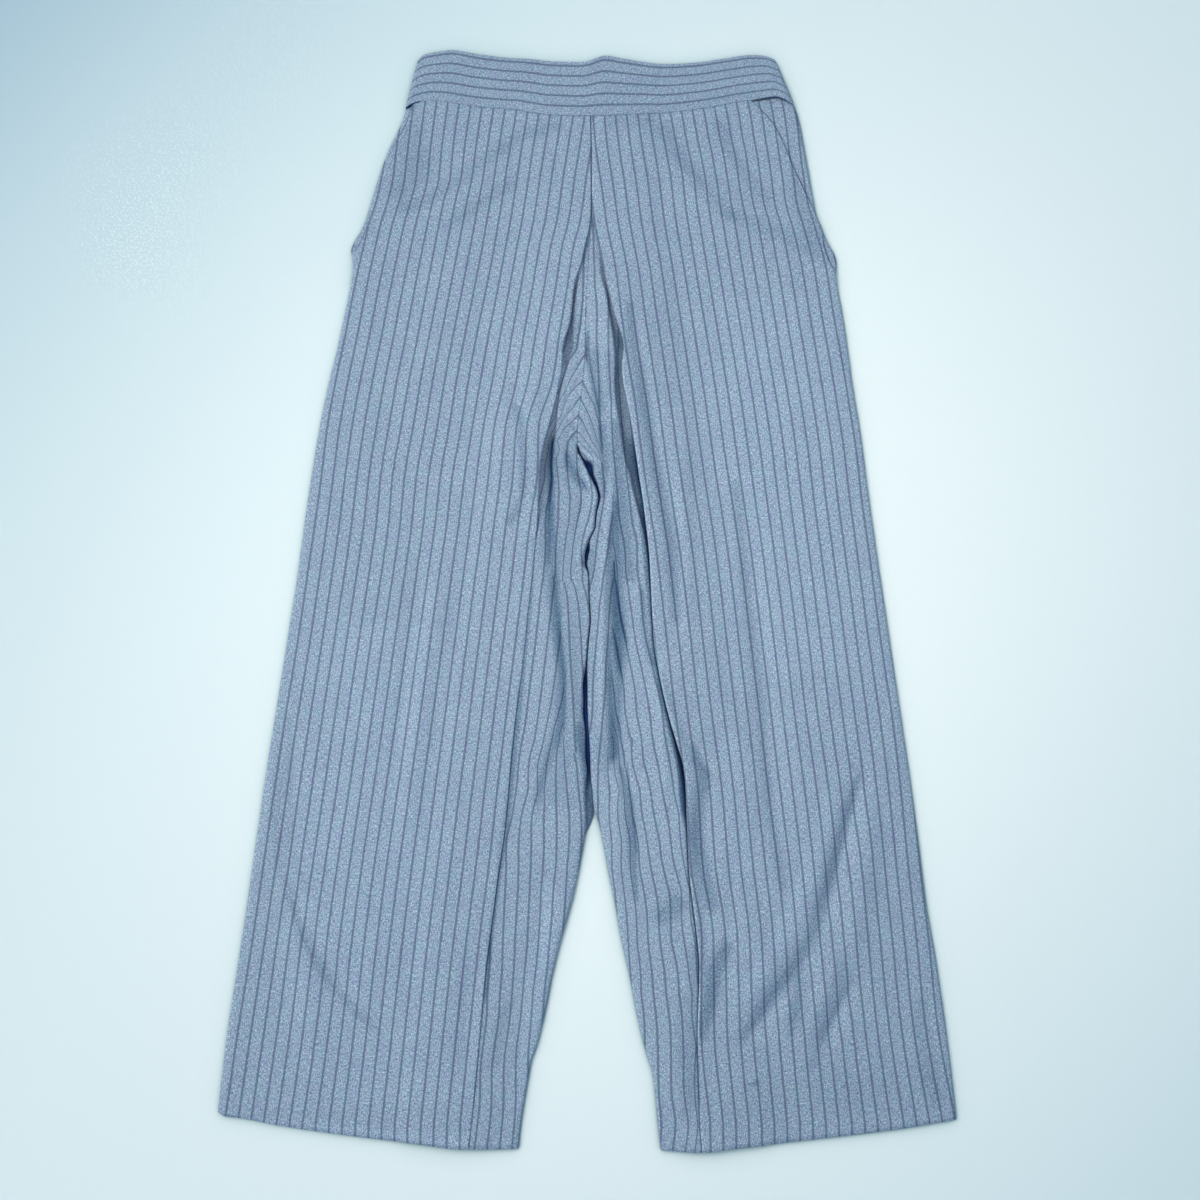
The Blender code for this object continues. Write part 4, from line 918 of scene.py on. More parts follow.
# How finely the cloth is divided
ROW_BANDS = (  # top, foot and count
    (WAIST, 215.0, 44),
    (215.0, 110.0, 53),
    (110.0, -5.0, 69),
    (-5.0, -210.0, 70),
    (-210.0, HEM, 52),
)
ROLL_STEPS = 5
PANEL_STEPS = 72
RIM_STEPS = 9  # of those, the ones nearest the crease
CREASE_STEPS = 9
HIDDEN_STEPS = 7
RETURN_STEPS = 8
VISIBLE_STEPS = 56
BESIDE_STEPS = 20  # of those, the ones nearest the crease
BACK_STEPS = 36
POCKET_STEPS = (60, 13)  # down and across a pocket's side piece
BAND_STEPS = 129
BAND_LEVELS = (0.0, 0.012, 0.026, 0.05, *np.linspace(0.09, 0.95, 18), 0.98, 1.0)  # shares of its width


def clamp(values, low=0.0, high=1.0):
    return np.minimum(np.maximum(values, low), high)


def smooth_step(amount):
    amount = clamp(amount)
    return amount * amount * (3.0 - 2.0 * amount)


def read_table(columns, rows, name, at, key="y"):
    """Reads one column at values of the key column, along a smooth curve that never runs past its rows."""
    keys = np.array([row[columns.index(key)] for row in rows], float)
    values = np.array([row[columns.index(name)] for row in rows], float)
    if keys[0] > keys[-1]:
        keys, values = keys[::-1], values[::-1]
    at = clamp(np.asarray(at, float), keys[0], keys[-1])
    span = np.diff(keys)
    secant = np.diff(values) / span
    before = np.concatenate([secant[:1], secant])
    after = np.concatenate([secant, secant[-1:]])
    product = before * after
    total = np.where(product > 0.0, before + after, 1.0)
    slope = np.where(product > 0.0, 2.0 * product / total, 0.0)
    low = np.clip(np.searchsorted(keys, at, side="right") - 1, 0, len(keys) - 2)
    t = (at - keys[low]) / span[low]
    start = (2 * t**3 - 3 * t**2 + 1) * values[low] + (t**3 - 2 * t**2 + t) * span[low] * slope[low]
    end = (3 * t**2 - 2 * t**3) * values[low + 1] + (t**3 - t**2) * span[low] * slope[low + 1]
    return start + end


def outwards(side):
    return -1.0 if side == "left" else 1.0


def height_shift(x, level):
    """How far a point lies above its section's level: up at the waist's ends and the hems' outer corners."""
    down = (WAIST - level) / (WAIST - HEM)
    waist_rise = read_table(BAND_COLUMNS, BAND_ROWS, "lower_y", x, key="lower_x") - BAND_GAP - WAIST
    hem_rise = read_table(HEM_COLUMNS, HEM_ROWS, "y", x, key="x") - HEM
    return waist_rise * np.maximum(0.0, 1.0 - down / WAIST_REACH) + hem_rise * down


def line_at(columns, rows, name, side, level):
    """Distance outwards of a line of one leg where it crosses a section, settled by three readings."""
    y = level
    for _ in range(3):
        x = read_table(columns, rows, f"{name}_{side}", y)
        y = level + height_shift(x, level)
    return float(x) * outwards(side)


def pocket_line(name, side, level):
    """A column of the pocket's table, read where the side edge crosses a section."""
    y = level + height_shift(line_at(LEG_COLUMNS, LEG_ROWS, "outer", side, level) * outwards(side), level)
    return float(read_table(POCKET_COLUMNS, POCKET_ROWS, f"{name}_{side}", y))


def side_edge(side, level):
    return line_at(LEG_COLUMNS, LEG_ROWS, "outer", side, level) + pocket_line("bulge", side, level)


def front_edge(side, level):
    return side_edge(side, level) - pocket_line("mouth", side, level)


def inner_edge(side, level):
    return line_at(INNER_COLUMNS, INNER_ROWS, "inner", side, level)


def crease_lift(side, level):
    return float(read_table(LIFT_COLUMNS, LIFT_ROWS, f"lift_{side}", level))


def fold_radius(side, level):
    return HIDDEN_RADIUS + CREASE_OPENING * crease_lift(side, level)


def pleat_span(side, level):
    """Where the pleat's layers are straight: from beside the crease's fold to beside the hidden fold."""
    crease = line_at(CREASE_COLUMNS, CREASE_ROWS, "crease", side, level) + SEAM_GAP / 2
    return crease + CLOTH / 2 + fold_radius(side, level), crease + PLEAT_DEPTH - HIDDEN_RADIUS


def pocket_share(level):
    return float(smooth_step((level - POCKET_FOOT) / POCKET_FADE + 1.0))


def edge_level(level):
    return SEAM_LEVEL + (POCKET_EDGE_LEVEL - SEAM_LEVEL) * pocket_share(level)


def edge_roll(level):
    return SIDE_ROLL_HEIGHT + (MOUTH_ROLL_HEIGHT - SIDE_ROLL_HEIGHT) * pocket_share(level)


def panel_level(side, level, out):
    """Height of the outer panel's middle at distances outwards, without its folds."""
    edge = front_edge(side, level)
    pleat_start, pleat_end = pleat_span(side, level)
    crown = edge_level(level) + edge_roll(level)
    inboard = smooth_step((edge - SIDE_ROLL_WIDTH - out) / POCKET_REACH)
    base = crown + (OPEN_LEVEL - crown) * inboard
    stack = (STACK_LEVEL - OPEN_LEVEL) * smooth_step((pleat_end + STACK_RAMP - out) / STACK_RAMP)
    reach = clamp((out - pleat_start) / CREASE_REACH)
    lift = crease_lift(side, level) * (0.5 + 0.5 * np.cos(np.pi * reach))
    return base + stack + lift


def arc(centre_out, centre_z, radius_out, radius_z, start, end, steps):
    """Points of an elliptical arc between two angles in degrees, without its two ends."""
    angle = np.radians(start + (end - start) * np.arange(1, steps) / steps)
    return centre_out + radius_out * np.cos(angle), centre_z + radius_z * np.sin(angle)


def underlay_level(side, level, out, roll_out, roll_top):
    """Height of the visible underlay: low beside the crease, up its shoulder, then on to its edge's roll."""
    shoulder, climb, height = (
        float(read_table(SHOULDER_COLUMNS, SHOULDER_ROWS, f"{name}_{side}", level))
        for name in ("shoulder", "climb", "height")
    )
    height = max(height, UNDERLAY_LEVEL)
    up = smooth_step((shoulder + climb - out) / climb)
    inward = smooth_step((shoulder - out) / max(shoulder - roll_out, 1.0))
    return UNDERLAY_LEVEL + (height - UNDERLAY_LEVEL) * up + (roll_top - height) * inward * up


def front_section(side, level):
    """The middle of a front's cloth across one section, from the side edge round the pleat to the inner edge:
    distances outwards and heights."""
    edge = front_edge(side, level) - CLOTH / 2
    foot, height = edge_level(level), edge_roll(level)
    top = float(panel_level(side, level, edge - SIDE_ROLL_WIDTH))
    bend_out, bend_z = arc(edge - SIDE_ROLL_WIDTH, foot, SIDE_ROLL_WIDTH, height, 0, 90, ROLL_STEPS)
    outs = [[edge], bend_out]
    heights = [[foot], bend_z]

    pleat_start, pleat_end = pleat_span(side, level)
    near_crease = pleat_start + NEAR_CREASE
    broad = np.linspace(edge - SIDE_ROLL_WIDTH, near_crease, PANEL_STEPS - RIM_STEPS, endpoint=False)
    panel = np.concatenate([broad, np.linspace(near_crease, pleat_start, RIM_STEPS + 1)])
    outs.append(panel)
    panel_heights = panel_level(side, level, panel)
    panel_heights[0] = top
    heights.append(panel_heights)

    radius = fold_radius(side, level)
    crest = panel_heights[-1]
    bend_out, bend_z = arc(pleat_start, crest - radius, radius, radius, 90, 270, CREASE_STEPS)
    outs.append(bend_out)
    heights.append(bend_z)

    shares = np.linspace(0.0, 1.0, RETURN_STEPS + 1)
    hidden = pleat_start + (pleat_end - pleat_start) * shares
    at_hidden = float(panel_level(side, level, pleat_end)) - RETURN_LEVEL
    below = 2 * radius + (at_hidden - 2 * radius) * shares
    outs.append(hidden)
    heights.append(panel_level(side, level, hidden) - below)

    middle = (RETURN_LEVEL + UNDERLAY_LEVEL) / 2
    bend_out, bend_z = arc(pleat_end, middle, HIDDEN_RADIUS, HIDDEN_RADIUS, 90, -90, HIDDEN_STEPS)
    outs.append(bend_out)
    heights.append(bend_z)

    outs.append(hidden[::-1])
    heights.append(np.full(len(hidden), UNDERLAY_LEVEL))

    width = float(read_table(INNER_COLUMNS, INNER_ROWS, f"width_{side}", level))
    crest = SEAM_LEVEL + float(read_table(INNER_COLUMNS, INNER_ROWS, "height", level))
    drop = float(read_table(INNER_COLUMNS, INNER_ROWS, "drop", level))
    inner = inner_edge(side, level) + CLOTH / 2
    beside = pleat_start - min(NEAR_VALLEY, 0.5 * (pleat_start - inner - width))
    visible = np.concatenate([
        np.linspace(pleat_start, beside, BESIDE_STEPS + 1)[1:],
        np.linspace(beside, inner + width, VISIBLE_STEPS - BESIDE_STEPS + 1)[1:],
    ])
    outs.append(visible)
    heights.append(underlay_level(side, level, visible, inner + width, crest))
    bend_out, bend_z = arc(inner + width, crest - drop, -width, drop, 90, 0, ROLL_STEPS)
    outs += [bend_out, [inner]]
    heights += [bend_z, [crest - drop]]
    return np.concatenate(outs), np.concatenate(heights)


def beside_path(path, x, y):
    """For points of the garment: the distance across from a path, signed by its side, the share along it, and
    the path's length."""
    points = np.array(path, float)
    lengths = np.hypot(*np.diff(points, axis=0).T)
    run = np.concatenate([[0.0], np.cumsum(lengths)])
    best = np.full(x.shape, np.inf)
    across, along = np.zeros_like(x), np.zeros_like(x)
    for index, (start, end) in enumerate(zip(points, points[1:])):
        way = (end - start) / lengths[index]
        off_x, off_y = x - start[0], y - start[1]
        on = clamp(off_x * way[0] + off_y * way[1], 0.0, lengths[index])
        far = np.hypot(off_x - on * way[0], off_y - on * way[1])
        nearer = far < best
        best = np.where(nearer, far, best)
        across = np.where(nearer, far * np.sign(off_x * way[1] - off_y * way[0]), across)
        along = np.where(nearer, (run[index] + on) / run[-1], along)
    return across, along, run[-1]


def fold_heights(place, x, y):
    """Height that the soft folds of one place add at points of the garment."""
    total = np.zeros_like(x)
    for where, half_width, height, lean, *path in FOLDS:
        if where != place:
            continue
        across, along, _ = beside_path(path, x, y)
        width = half_width * (1.0 + lean * np.sign(across))
        ends = smooth_step(along / FOLD_ENDS) * smooth_step((1.0 - along) / FOLD_ENDS)
        total += height * ends * np.exp(-((across / width) ** 2))
    return total


def deep_shade(place, x, y):
    """Painted shade, and painted highlight where it is below zero, on the cloth of one place at points of the
    garment.
    """
    light = np.ones_like(x)
    for where, depth, *path in SHADES:
        if where not in (place, place.split()[0]):
            continue
        points = np.array(path, float)
        across, along, length = beside_path(points[:, :2], x, y)
        run = np.concatenate([[0.0], np.cumsum(np.hypot(*np.diff(points[:, :2], axis=0).T))])
        half_width = np.interp(along * length, run, points[:, 2])
        ends = smooth_step(along * length / SHADE_ENDS) * smooth_step((1.0 - along) * length / SHADE_ENDS)
        light *= 1.0 - depth * ends * np.exp(-((np.abs(across) / half_width) ** 3))
    return 1.0 - light


def valley_shade(side, x, y):
    """Painted shade in the valley beside a crease, from the crease's edge to its far side; below zero it is
    painted light.
    """
    edge = read_table(CREASE_COLUMNS, CREASE_ROWS, f"crease_{side}", y) * outwards(side)
    wide, near, far = (
        read_table(VALLEY_COLUMNS, VALLEY_ROWS, f"{name}_{side}", y) for name in ("wide", "near", "far")
    )
    share = (edge - x * outwards(side)) / wide
    beyond = smooth_step((share - 1.0) * wide / VALLEY_SOFT + 0.5)
    return (near + (far - near) * clamp(share)) * (1.0 - beyond)


def rim_shade(side, x, y):
    """Painted highlight or shade on a crease's own rim."""
    edge = read_table(CREASE_COLUMNS, CREASE_ROWS, f"crease_{side}", y) * outwards(side)
    rim = read_table(VALLEY_COLUMNS, VALLEY_ROWS, f"rim_{side}", y)
    return rim * (1.0 - smooth_step((x * outwards(side) - edge) / RIM_WIDTH))


def panel_stripes(side, x, y):
    """Stripe number on an outer panel, counted inwards from the side edge."""
    rows = LEFT_STRIPES if side == "left" else RIGHT_STRIPES
    places = np.stack([read_table(STRIPE_COLUMNS, rows, name, y) for name in STRIPE_COLUMNS[1:]])
    places = places * outwards(side)
    out = x * outwards(side)
    number = np.zeros_like(x)
    for index in range(len(PANEL_STRIPES) - 1):
        share = (places[index] - out) / (places[index] - places[index + 1])
        here = PANEL_STRIPES[index] + (PANEL_STRIPES[index + 1] - PANEL_STRIPES[index]) * share
        low = share >= 0.0 if index else np.full(x.shape, True)
        number = np.where(low, here, number)
    return number


def stripe_field(stripes):
    """A smooth map from a place to the number of the stripe there, through all the points of some stripes."""
    points = np.array([point for number, *path in stripes for point in path], float)
    numbers = np.array([number for number, *path in stripes for point in path], float)

    def shape(away):
        return away**2 * np.log(away + 1e-6)

    spread = np.linalg.norm(points[:, None] - points[None], axis=2) / FIELD_SCALE
    plane = np.column_stack([np.ones(len(points)), points / FIELD_SCALE])
    size = len(points)
    system = np.zeros((size + 3, size + 3))
    system[:size, :size] = shape(spread) + FIELD_EASE * np.eye(size)
    system[:size, size:] = plane
    system[size:, :size] = plane.T
    weights = np.linalg.solve(system, np.concatenate([numbers, np.zeros(3)]))

    def read(x, y):
        place = np.stack([x, y], axis=-1)
        away = np.linalg.norm(place[..., None, :] - points, axis=-1) / FIELD_SCALE
        flat = np.stack([np.ones_like(x), x / FIELD_SCALE, y / FIELD_SCALE], axis=-1)
        return shape(away) @ weights[:size] + flat @ weights[size:]

    return read


def beyond_line(line, x, y):
    """True to the right of a line that runs down the garment, between its two ends."""
    points = np.array(line, float)[::-1]
    at = np.interp(y, points[:, 1], points[:, 0])
    inside = (y > points[0, 1]) & (y < points[-1, 1])
    return inside & (x > at)


def left_under_stripes():
    upper = stripe_field(LEFT_UPPER_STRIPES)
    inner = stripe_field(LEFT_INNER_STRIPES)
    lower = stripe_field(LEFT_LOWER_STRIPES)

    def read(x, y, centre_x, centre_y):
        strip = beyond_line(LEFT_STRIP_LINE, centre_x, centre_y)
        number = np.where(strip, inner(x, y), lower(x, y))
        return np.where(centre_y > LEFT_STRIP_LINE[0][1], upper(x, y), number)

    return read


def right_under_stripes():
    upper = stripe_field(RIGHT_UPPER_STRIPES)
    crotch = stripe_field(RIGHT_CROTCH_STRIPES)
    inner = stripe_field(RIGHT_INNER_STRIPES)
    lower = stripe_field(RIGHT_LOWER_STRIPES)

    def read(x, y, centre_x, centre_y):
        top, bottom = RIGHT_STRIP_LINE[0][1], RIGHT_STRIP_LINE[-1][1]
        within = (centre_y < top) & (centre_y > bottom)
        strip = within & ~beyond_line(RIGHT_STRIP_LINE, centre_x, centre_y)
        number = np.where(strip, inner(x, y), lower(x, y))
        beside = (centre_y < CROTCH_LINE[0][1]) & ~beyond_line(CROTCH_LINE, centre_x, centre_y)
        above = np.where(beside, crotch(x, y), upper(x, y))
        return np.where(centre_y > top, above, number)

    return read


def build_cloth(name, grid, wall, stripes, material, shade=None):
    """A sheet of cloth with a wall, through rows of points in millimetres, and its UV map in metres. The
    argument stripes holds each face's corners on the flat cloth, and shade the painted shade at each point."""
    rows, columns = grid.shape[:2]
    places = grid.reshape(-1, 3) * MM
    places[:, 1] -= MIDDLE_Y * MM
    index = np.arange(rows * columns).reshape(rows, columns)
    faces = np.stack([index[:-1, :-1], index[:-1, 1:], index[1:, 1:], index[1:, :-1]], axis=-1).reshape(-1, 4)
    mesh = bpy.data.meshes.new(name)
    mesh.from_pydata(places.tolist(), [], faces.tolist())
    flat = mesh.uv_layers.new(name="cloth")
    flat.data.foreach_set("uv", stripes.astype(np.float32).ravel())
    mesh.polygons.foreach_set("use_smooth", np.ones(len(mesh.polygons), bool))
    depth = mesh.attributes.new(name="deep_shade", type="FLOAT", domain="POINT")
    values = np.zeros(rows * columns) if shade is None else shade.ravel()
    depth.data.foreach_set("value", values.astype(np.float32))
    mesh.materials.append(material)
    obj = bpy.data.objects.new(name, mesh)
    bpy.context.scene.collection.objects.link(obj)
    shell = obj.modifiers.new("cloth", "SOLIDIFY")
    shell.thickness = wall * MM
    shell.offset = 0.0
    shell.use_even_offset = True
    return obj


def corners_of(values):
    """The values at each face's four corners, from values at a grid's points."""
    return np.stack([values[:-1, :-1], values[:-1, 1:], values[1:, 1:], values[1:, :-1]], axis=-1)


def levels():
    """Levels of the garment's sections from the waist to the hem, closer together about the crotch."""
    rows = [np.linspace(top, foot, count, endpoint=False) for top, foot, count in ROW_BANDS]
    return np.concatenate(rows + [[HEM]])


def front_grid(side):
    """Points of one front in millimetres, and each point's run across the cloth from the side edge."""
    rows, runs = [], []
    for level in levels():
        out, z = front_section(side, level)
        x = out * outwards(side)
        y = level + height_shift(x, level)
        rows.append(np.stack([x, y, z], axis=-1))
        runs.append(np.concatenate([[0.0], np.cumsum(np.hypot(np.diff(out), np.diff(z)))]))
    return np.array(rows), np.array(runs)


def build_front(side, material):
    """A front leg: panel, crease, return, hidden fold and underlay, in the order that the cloth runs."""
    grid, run = front_grid(side)
    x, y = grid[:, :, 0], grid[:, :, 1]
    columns = grid.shape[1]
    panel_end = ROLL_STEPS + PANEL_STEPS + 1
    crease_end = panel_end + CREASE_STEPS - 1
    return_end = crease_end + RETURN_STEPS + 1
    hidden_end = return_end + HIDDEN_STEPS - 1
    under_start = hidden_end + RETURN_STEPS + 1
    panel = slice(0, panel_end)
    crease = slice(panel_end, crease_end)
    below = slice(crease_end, return_end)
    under = slice(hidden_end, columns)

    # the crease and the return go with the folds that reach the crease
    panel_folds = fold_heights(f"{side} panel", x[:, panel], y[:, panel])
    grid[:, panel, 2] += panel_folds * smooth_step(run[:, panel] / FOLD_EDGE)
    grid[:, crease, 2] += panel_folds[:, -1:]
    return_folds = fold_heights(f"{side} panel", x[:, below], y[:, below])
    grid[:, below, 2] += return_folds * (1.0 - np.linspace(0.0, 1.0, RETURN_STEPS + 1) ** 4)
    grid[:, below, 2] = np.maximum(grid[:, below, 2], UNDERLAY_LEVEL + THREAD_CLOTH + LAYER_GAP)
    under_folds = fold_heights(f"{side} under", x[:, under], y[:, under])
    near = clamp((np.arange(columns)[under] - hidden_end) / (RETURN_STEPS + 1.0)) ** 3
    edge = clamp((columns - 1 - np.arange(columns)[under]) / (ROLL_STEPS + 1.0))
    grid[:, under, 2] += under_folds * near * edge
    grid[:, :, 2] = np.maximum(grid[:, :, 2], SEAM_LEVEL)

    # painted shade and highlights on each front: along its folds, on its crease rims, at its pocket's mouth,
    # inside its pleat and in the valleys beside its creases
    shade = np.zeros_like(x)
    shade[:, panel] = deep_shade(f"{side} panel", x[:, panel], y[:, panel])
    shade[:, panel] += rim_shade(side, x[:, panel], y[:, panel])
    mouth = read_table(POCKET_COLUMNS, POCKET_ROWS, f"mouth_{side}", y[:, panel])
    opened = clamp((mouth - MOUTH_SHADE_START) / MOUTH_SHADE_RISE)
    shade[:, panel] += MOUTH_SHADE * opened * (run[:, panel] < MOUTH_EDGE)
    turning = np.linspace(1.0, RIM_TURN, crease_end - panel_end)
    shade[:, crease] = rim_shade(side, x[:, crease], y[:, crease]) * turning
    shade[:, crease_end:hidden_end] = HIDDEN_SHADE
    shade[:, under] = deep_shade(f"{side} under", x[:, under], y[:, under])
    shade[:, under] += valley_shade(side, x[:, under], y[:, under])
    shade = np.clip(shade, BRIGHTEST, DARKEST)

    # stripe numbers, face by face, as a fold can hide whole stripes between two neighbours
    numbers = np.zeros((grid.shape[0] - 1, columns - 1, 4))
    fx, fy = corners_of(x), corners_of(y)
    faces = slice(0, panel_end - 1)
    numbers[:, faces] = panel_stripes(side, fx[:, faces], fy[:, faces])
    last = slice(panel_end - 1, panel_end)
    onward = panel_stripes(side, x[:, last], y[:, last]) + (run - run[:, last]) / STRIPE_PITCH
    hidden = slice(panel_end - 1, under_start - 2)
    numbers[:, hidden] = corners_of(onward)[:, hidden]
    seen = slice(under_start - 2, columns - 1)
    field = left_under_stripes() if side == "left" else right_under_stripes()
    centre_x = fx[:, seen].mean(axis=-1, keepdims=True)
    centre_y = fy[:, seen].mean(axis=-1, keepdims=True)
    numbers[:, seen] = field(fx[:, seen], fy[:, seen], centre_x, centre_y)

    uv = np.stack([numbers * STRIPE_PITCH * MM, fy * MM], axis=-1)
    return build_cloth(f"striped_front_{side}", grid, THREAD_CLOTH, uv, material, shade)


def build_back(side, material):
    """A back leg, which lies flat under its front and shows only through the gap between the legs."""
    rows = []
    for level in levels():
        inner = inner_edge(side, level) + SEAM_GAP / 2
        if level > GAP_OPENS:
            both = (inner_edge("right", level) - inner_edge("left", level)) / 2
            parting = smooth_step(np.float64(GAP_PARTS - level) / (GAP_PARTS - GAP_OPENS))
            both += (inner_edge("right", level) - both) * parting
            inner = both * outwards(side) + SEAM_GAP / 4
        elif side == "left":
            inner -= float(read_table(TONGUE_COLUMNS, TONGUE_ROWS, "reach", level))
        out = np.linspace(side_edge(side, level) - BACK_INSET, inner, BACK_STEPS + 1)
        x = out * outwards(side)
        rows.append(np.stack([x, level + height_shift(x, level), np.full(len(x), CLOTH / 2)], axis=-1))
    grid = np.array(rows)
    fx, fy = corners_of(grid[:, :, 0]), corners_of(grid[:, :, 1])
    uv = np.stack([panel_stripes(side, fx, fy) * STRIPE_PITCH * MM, fy * MM], axis=-1)
    # painted shade where the back shows through the gap between the legs, and on the left back's tongue
    shade = read_table(GAP_SHADE_COLUMNS, GAP_SHADE_ROWS, "dark", grid[:, :, 1])
    shade = shade * (np.abs(grid[:, :, 0]) < GAP_REACH)
    return build_cloth(f"striped_back_{side}", grid, CLOTH - WALL_INSIDE, uv, material, shade)


def build_pocket_side(side, material):
    """The side piece that shows in a pocket's slanted mouth, tucked in under the front."""
    rows = []
    down, across = POCKET_STEPS
    for level in np.linspace(WAIST, POCKET_FOOT + 1.0, down):
        edge = side_edge(side, level)
        hidden = front_edge(side, level) - POCKET_TUCK
        x = np.linspace(edge, hidden, across) * outwards(side)
        rows.append(np.stack([x, level + height_shift(x, level), np.full(len(x), SEAM_LEVEL)], axis=-1))
    grid = np.array(rows)
    fx, fy = corners_of(grid[:, :, 0]), corners_of(grid[:, :, 1])
    uv = np.stack([panel_stripes(side, fx, fy) * STRIPE_PITCH * MM, fy * MM], axis=-1)
    return build_cloth(f"pocket_side_cloth_{side}", grid, THREAD_CLOTH, uv, material)


def band_front_height(x, share, up):
    """The band follows the fronts along its seam, and comes down to the back half at its top and ends."""
    lower = np.empty_like(x)
    for index, place in np.ndenumerate(x):
        side = "left" if place < 0 else "right"
        lower[index] = panel_level(side, WAIST, np.float64(max(abs(place), PLEAT_DEPTH / 2))) + BAND_LIFT
    height = lower + (BAND_TOP_LEVEL - lower) * smooth_step(up)
    height += BAND_SWELL * smooth_step(up / BAND_SWELL_SHARE) * (1.0 - smooth_step(up))
    length = BAND_ROWS[-1][0] - BAND_ROWS[0][0]
    from_end = np.minimum(share, 1.0 - share) * length
    return BAND_END_LEVEL + (height - BAND_END_LEVEL) * smooth_step(from_end / BAND_END_REACH)


def build_band(name, front, material):
    """One half of the waistband, with its stripes along it."""
    share = np.linspace(0.0, 1.0, BAND_STEPS)
    place = share * (len(BAND_ROWS) - 1)
    numbered = [(index,) + row for index, row in enumerate(BAND_ROWS)]
    columns = ("place",) + BAND_COLUMNS
    ends = {name: read_table(columns, numbered, name, place, key="place") for name in BAND_COLUMNS}
    up = np.array(BAND_LEVELS)[None, :]
    x = ends["lower_x"][:, None] + (ends["upper_x"] - ends["lower_x"])[:, None] * up
    y = ends["lower_y"][:, None] + (ends["upper_y"] - ends["lower_y"])[:, None] * up
    shares = np.broadcast_to(share[:, None], x.shape)
    ups = np.broadcast_to(up, x.shape)
    if front:
        z = band_front_height(x, shares, ups)
        z[:, 1:-1] += BAND_CROWN * np.sin(np.pi * ups[:, 1:-1]) ** 2
    else:
        z = np.full(x.shape, BAND_CLOTH / 2)
    grid = np.stack([x, y, z], axis=-1)
    number = (1.0 - ups - BAND_STRIPE_START) / BAND_STRIPE_SHARE
    uv = np.stack([corners_of(number) * STRIPE_PITCH * MM, corners_of(x) * MM], axis=-1)
    # the band as a whole a little darker than the legs, and painted shade along its lower edge at each end,
    # over the slits
    shade = np.full(x.shape, BAND_SHADE)
    for start, end, dark in BAND_EDGE_SHADES:
        shade += dark * ((x > start) & (x < end) & (ups < BAND_EDGE))
    return build_cloth(name, grid, BAND_CLOTH - WALL_INSIDE, uv, material, shade)


def linear(hex_colour):
    """An sRGB hex colour as linear red, green, blue and alpha."""
    parts = [int(hex_colour[start : start + 2], 16) / 255 for start in (1, 3, 5)]
    return [part / 12.92 if part <= 0.04045 else ((part + 0.055) / 1.055) ** 2.4 for part in parts] + [1.0]


def add_node(tree, kind, inputs=(), links=(), **settings):
    """Adds a node with its settings, the values of its inputs and the links into it."""
    node = tree.nodes.new(kind)
    for name, value in settings.items():
        setattr(node, name, value)
    for socket, value in dict(inputs).items():
        node.inputs[socket].default_value = value
    for socket, source in dict(links).items():
        tree.links.new(source, node.inputs[socket])
    return node


def ramp_stops(node, stops):
    """Sets a colour ramp's stops from (place, hex colour) pairs."""
    elements = node.color_ramp.elements
    while len(elements) > len(stops):
        elements.remove(elements[-1])
    while len(elements) < len(stops):
        elements.new(1.0)
    for element, (place, colour) in zip(elements, stops):
        element.position = place
        element.color = linear(colour)


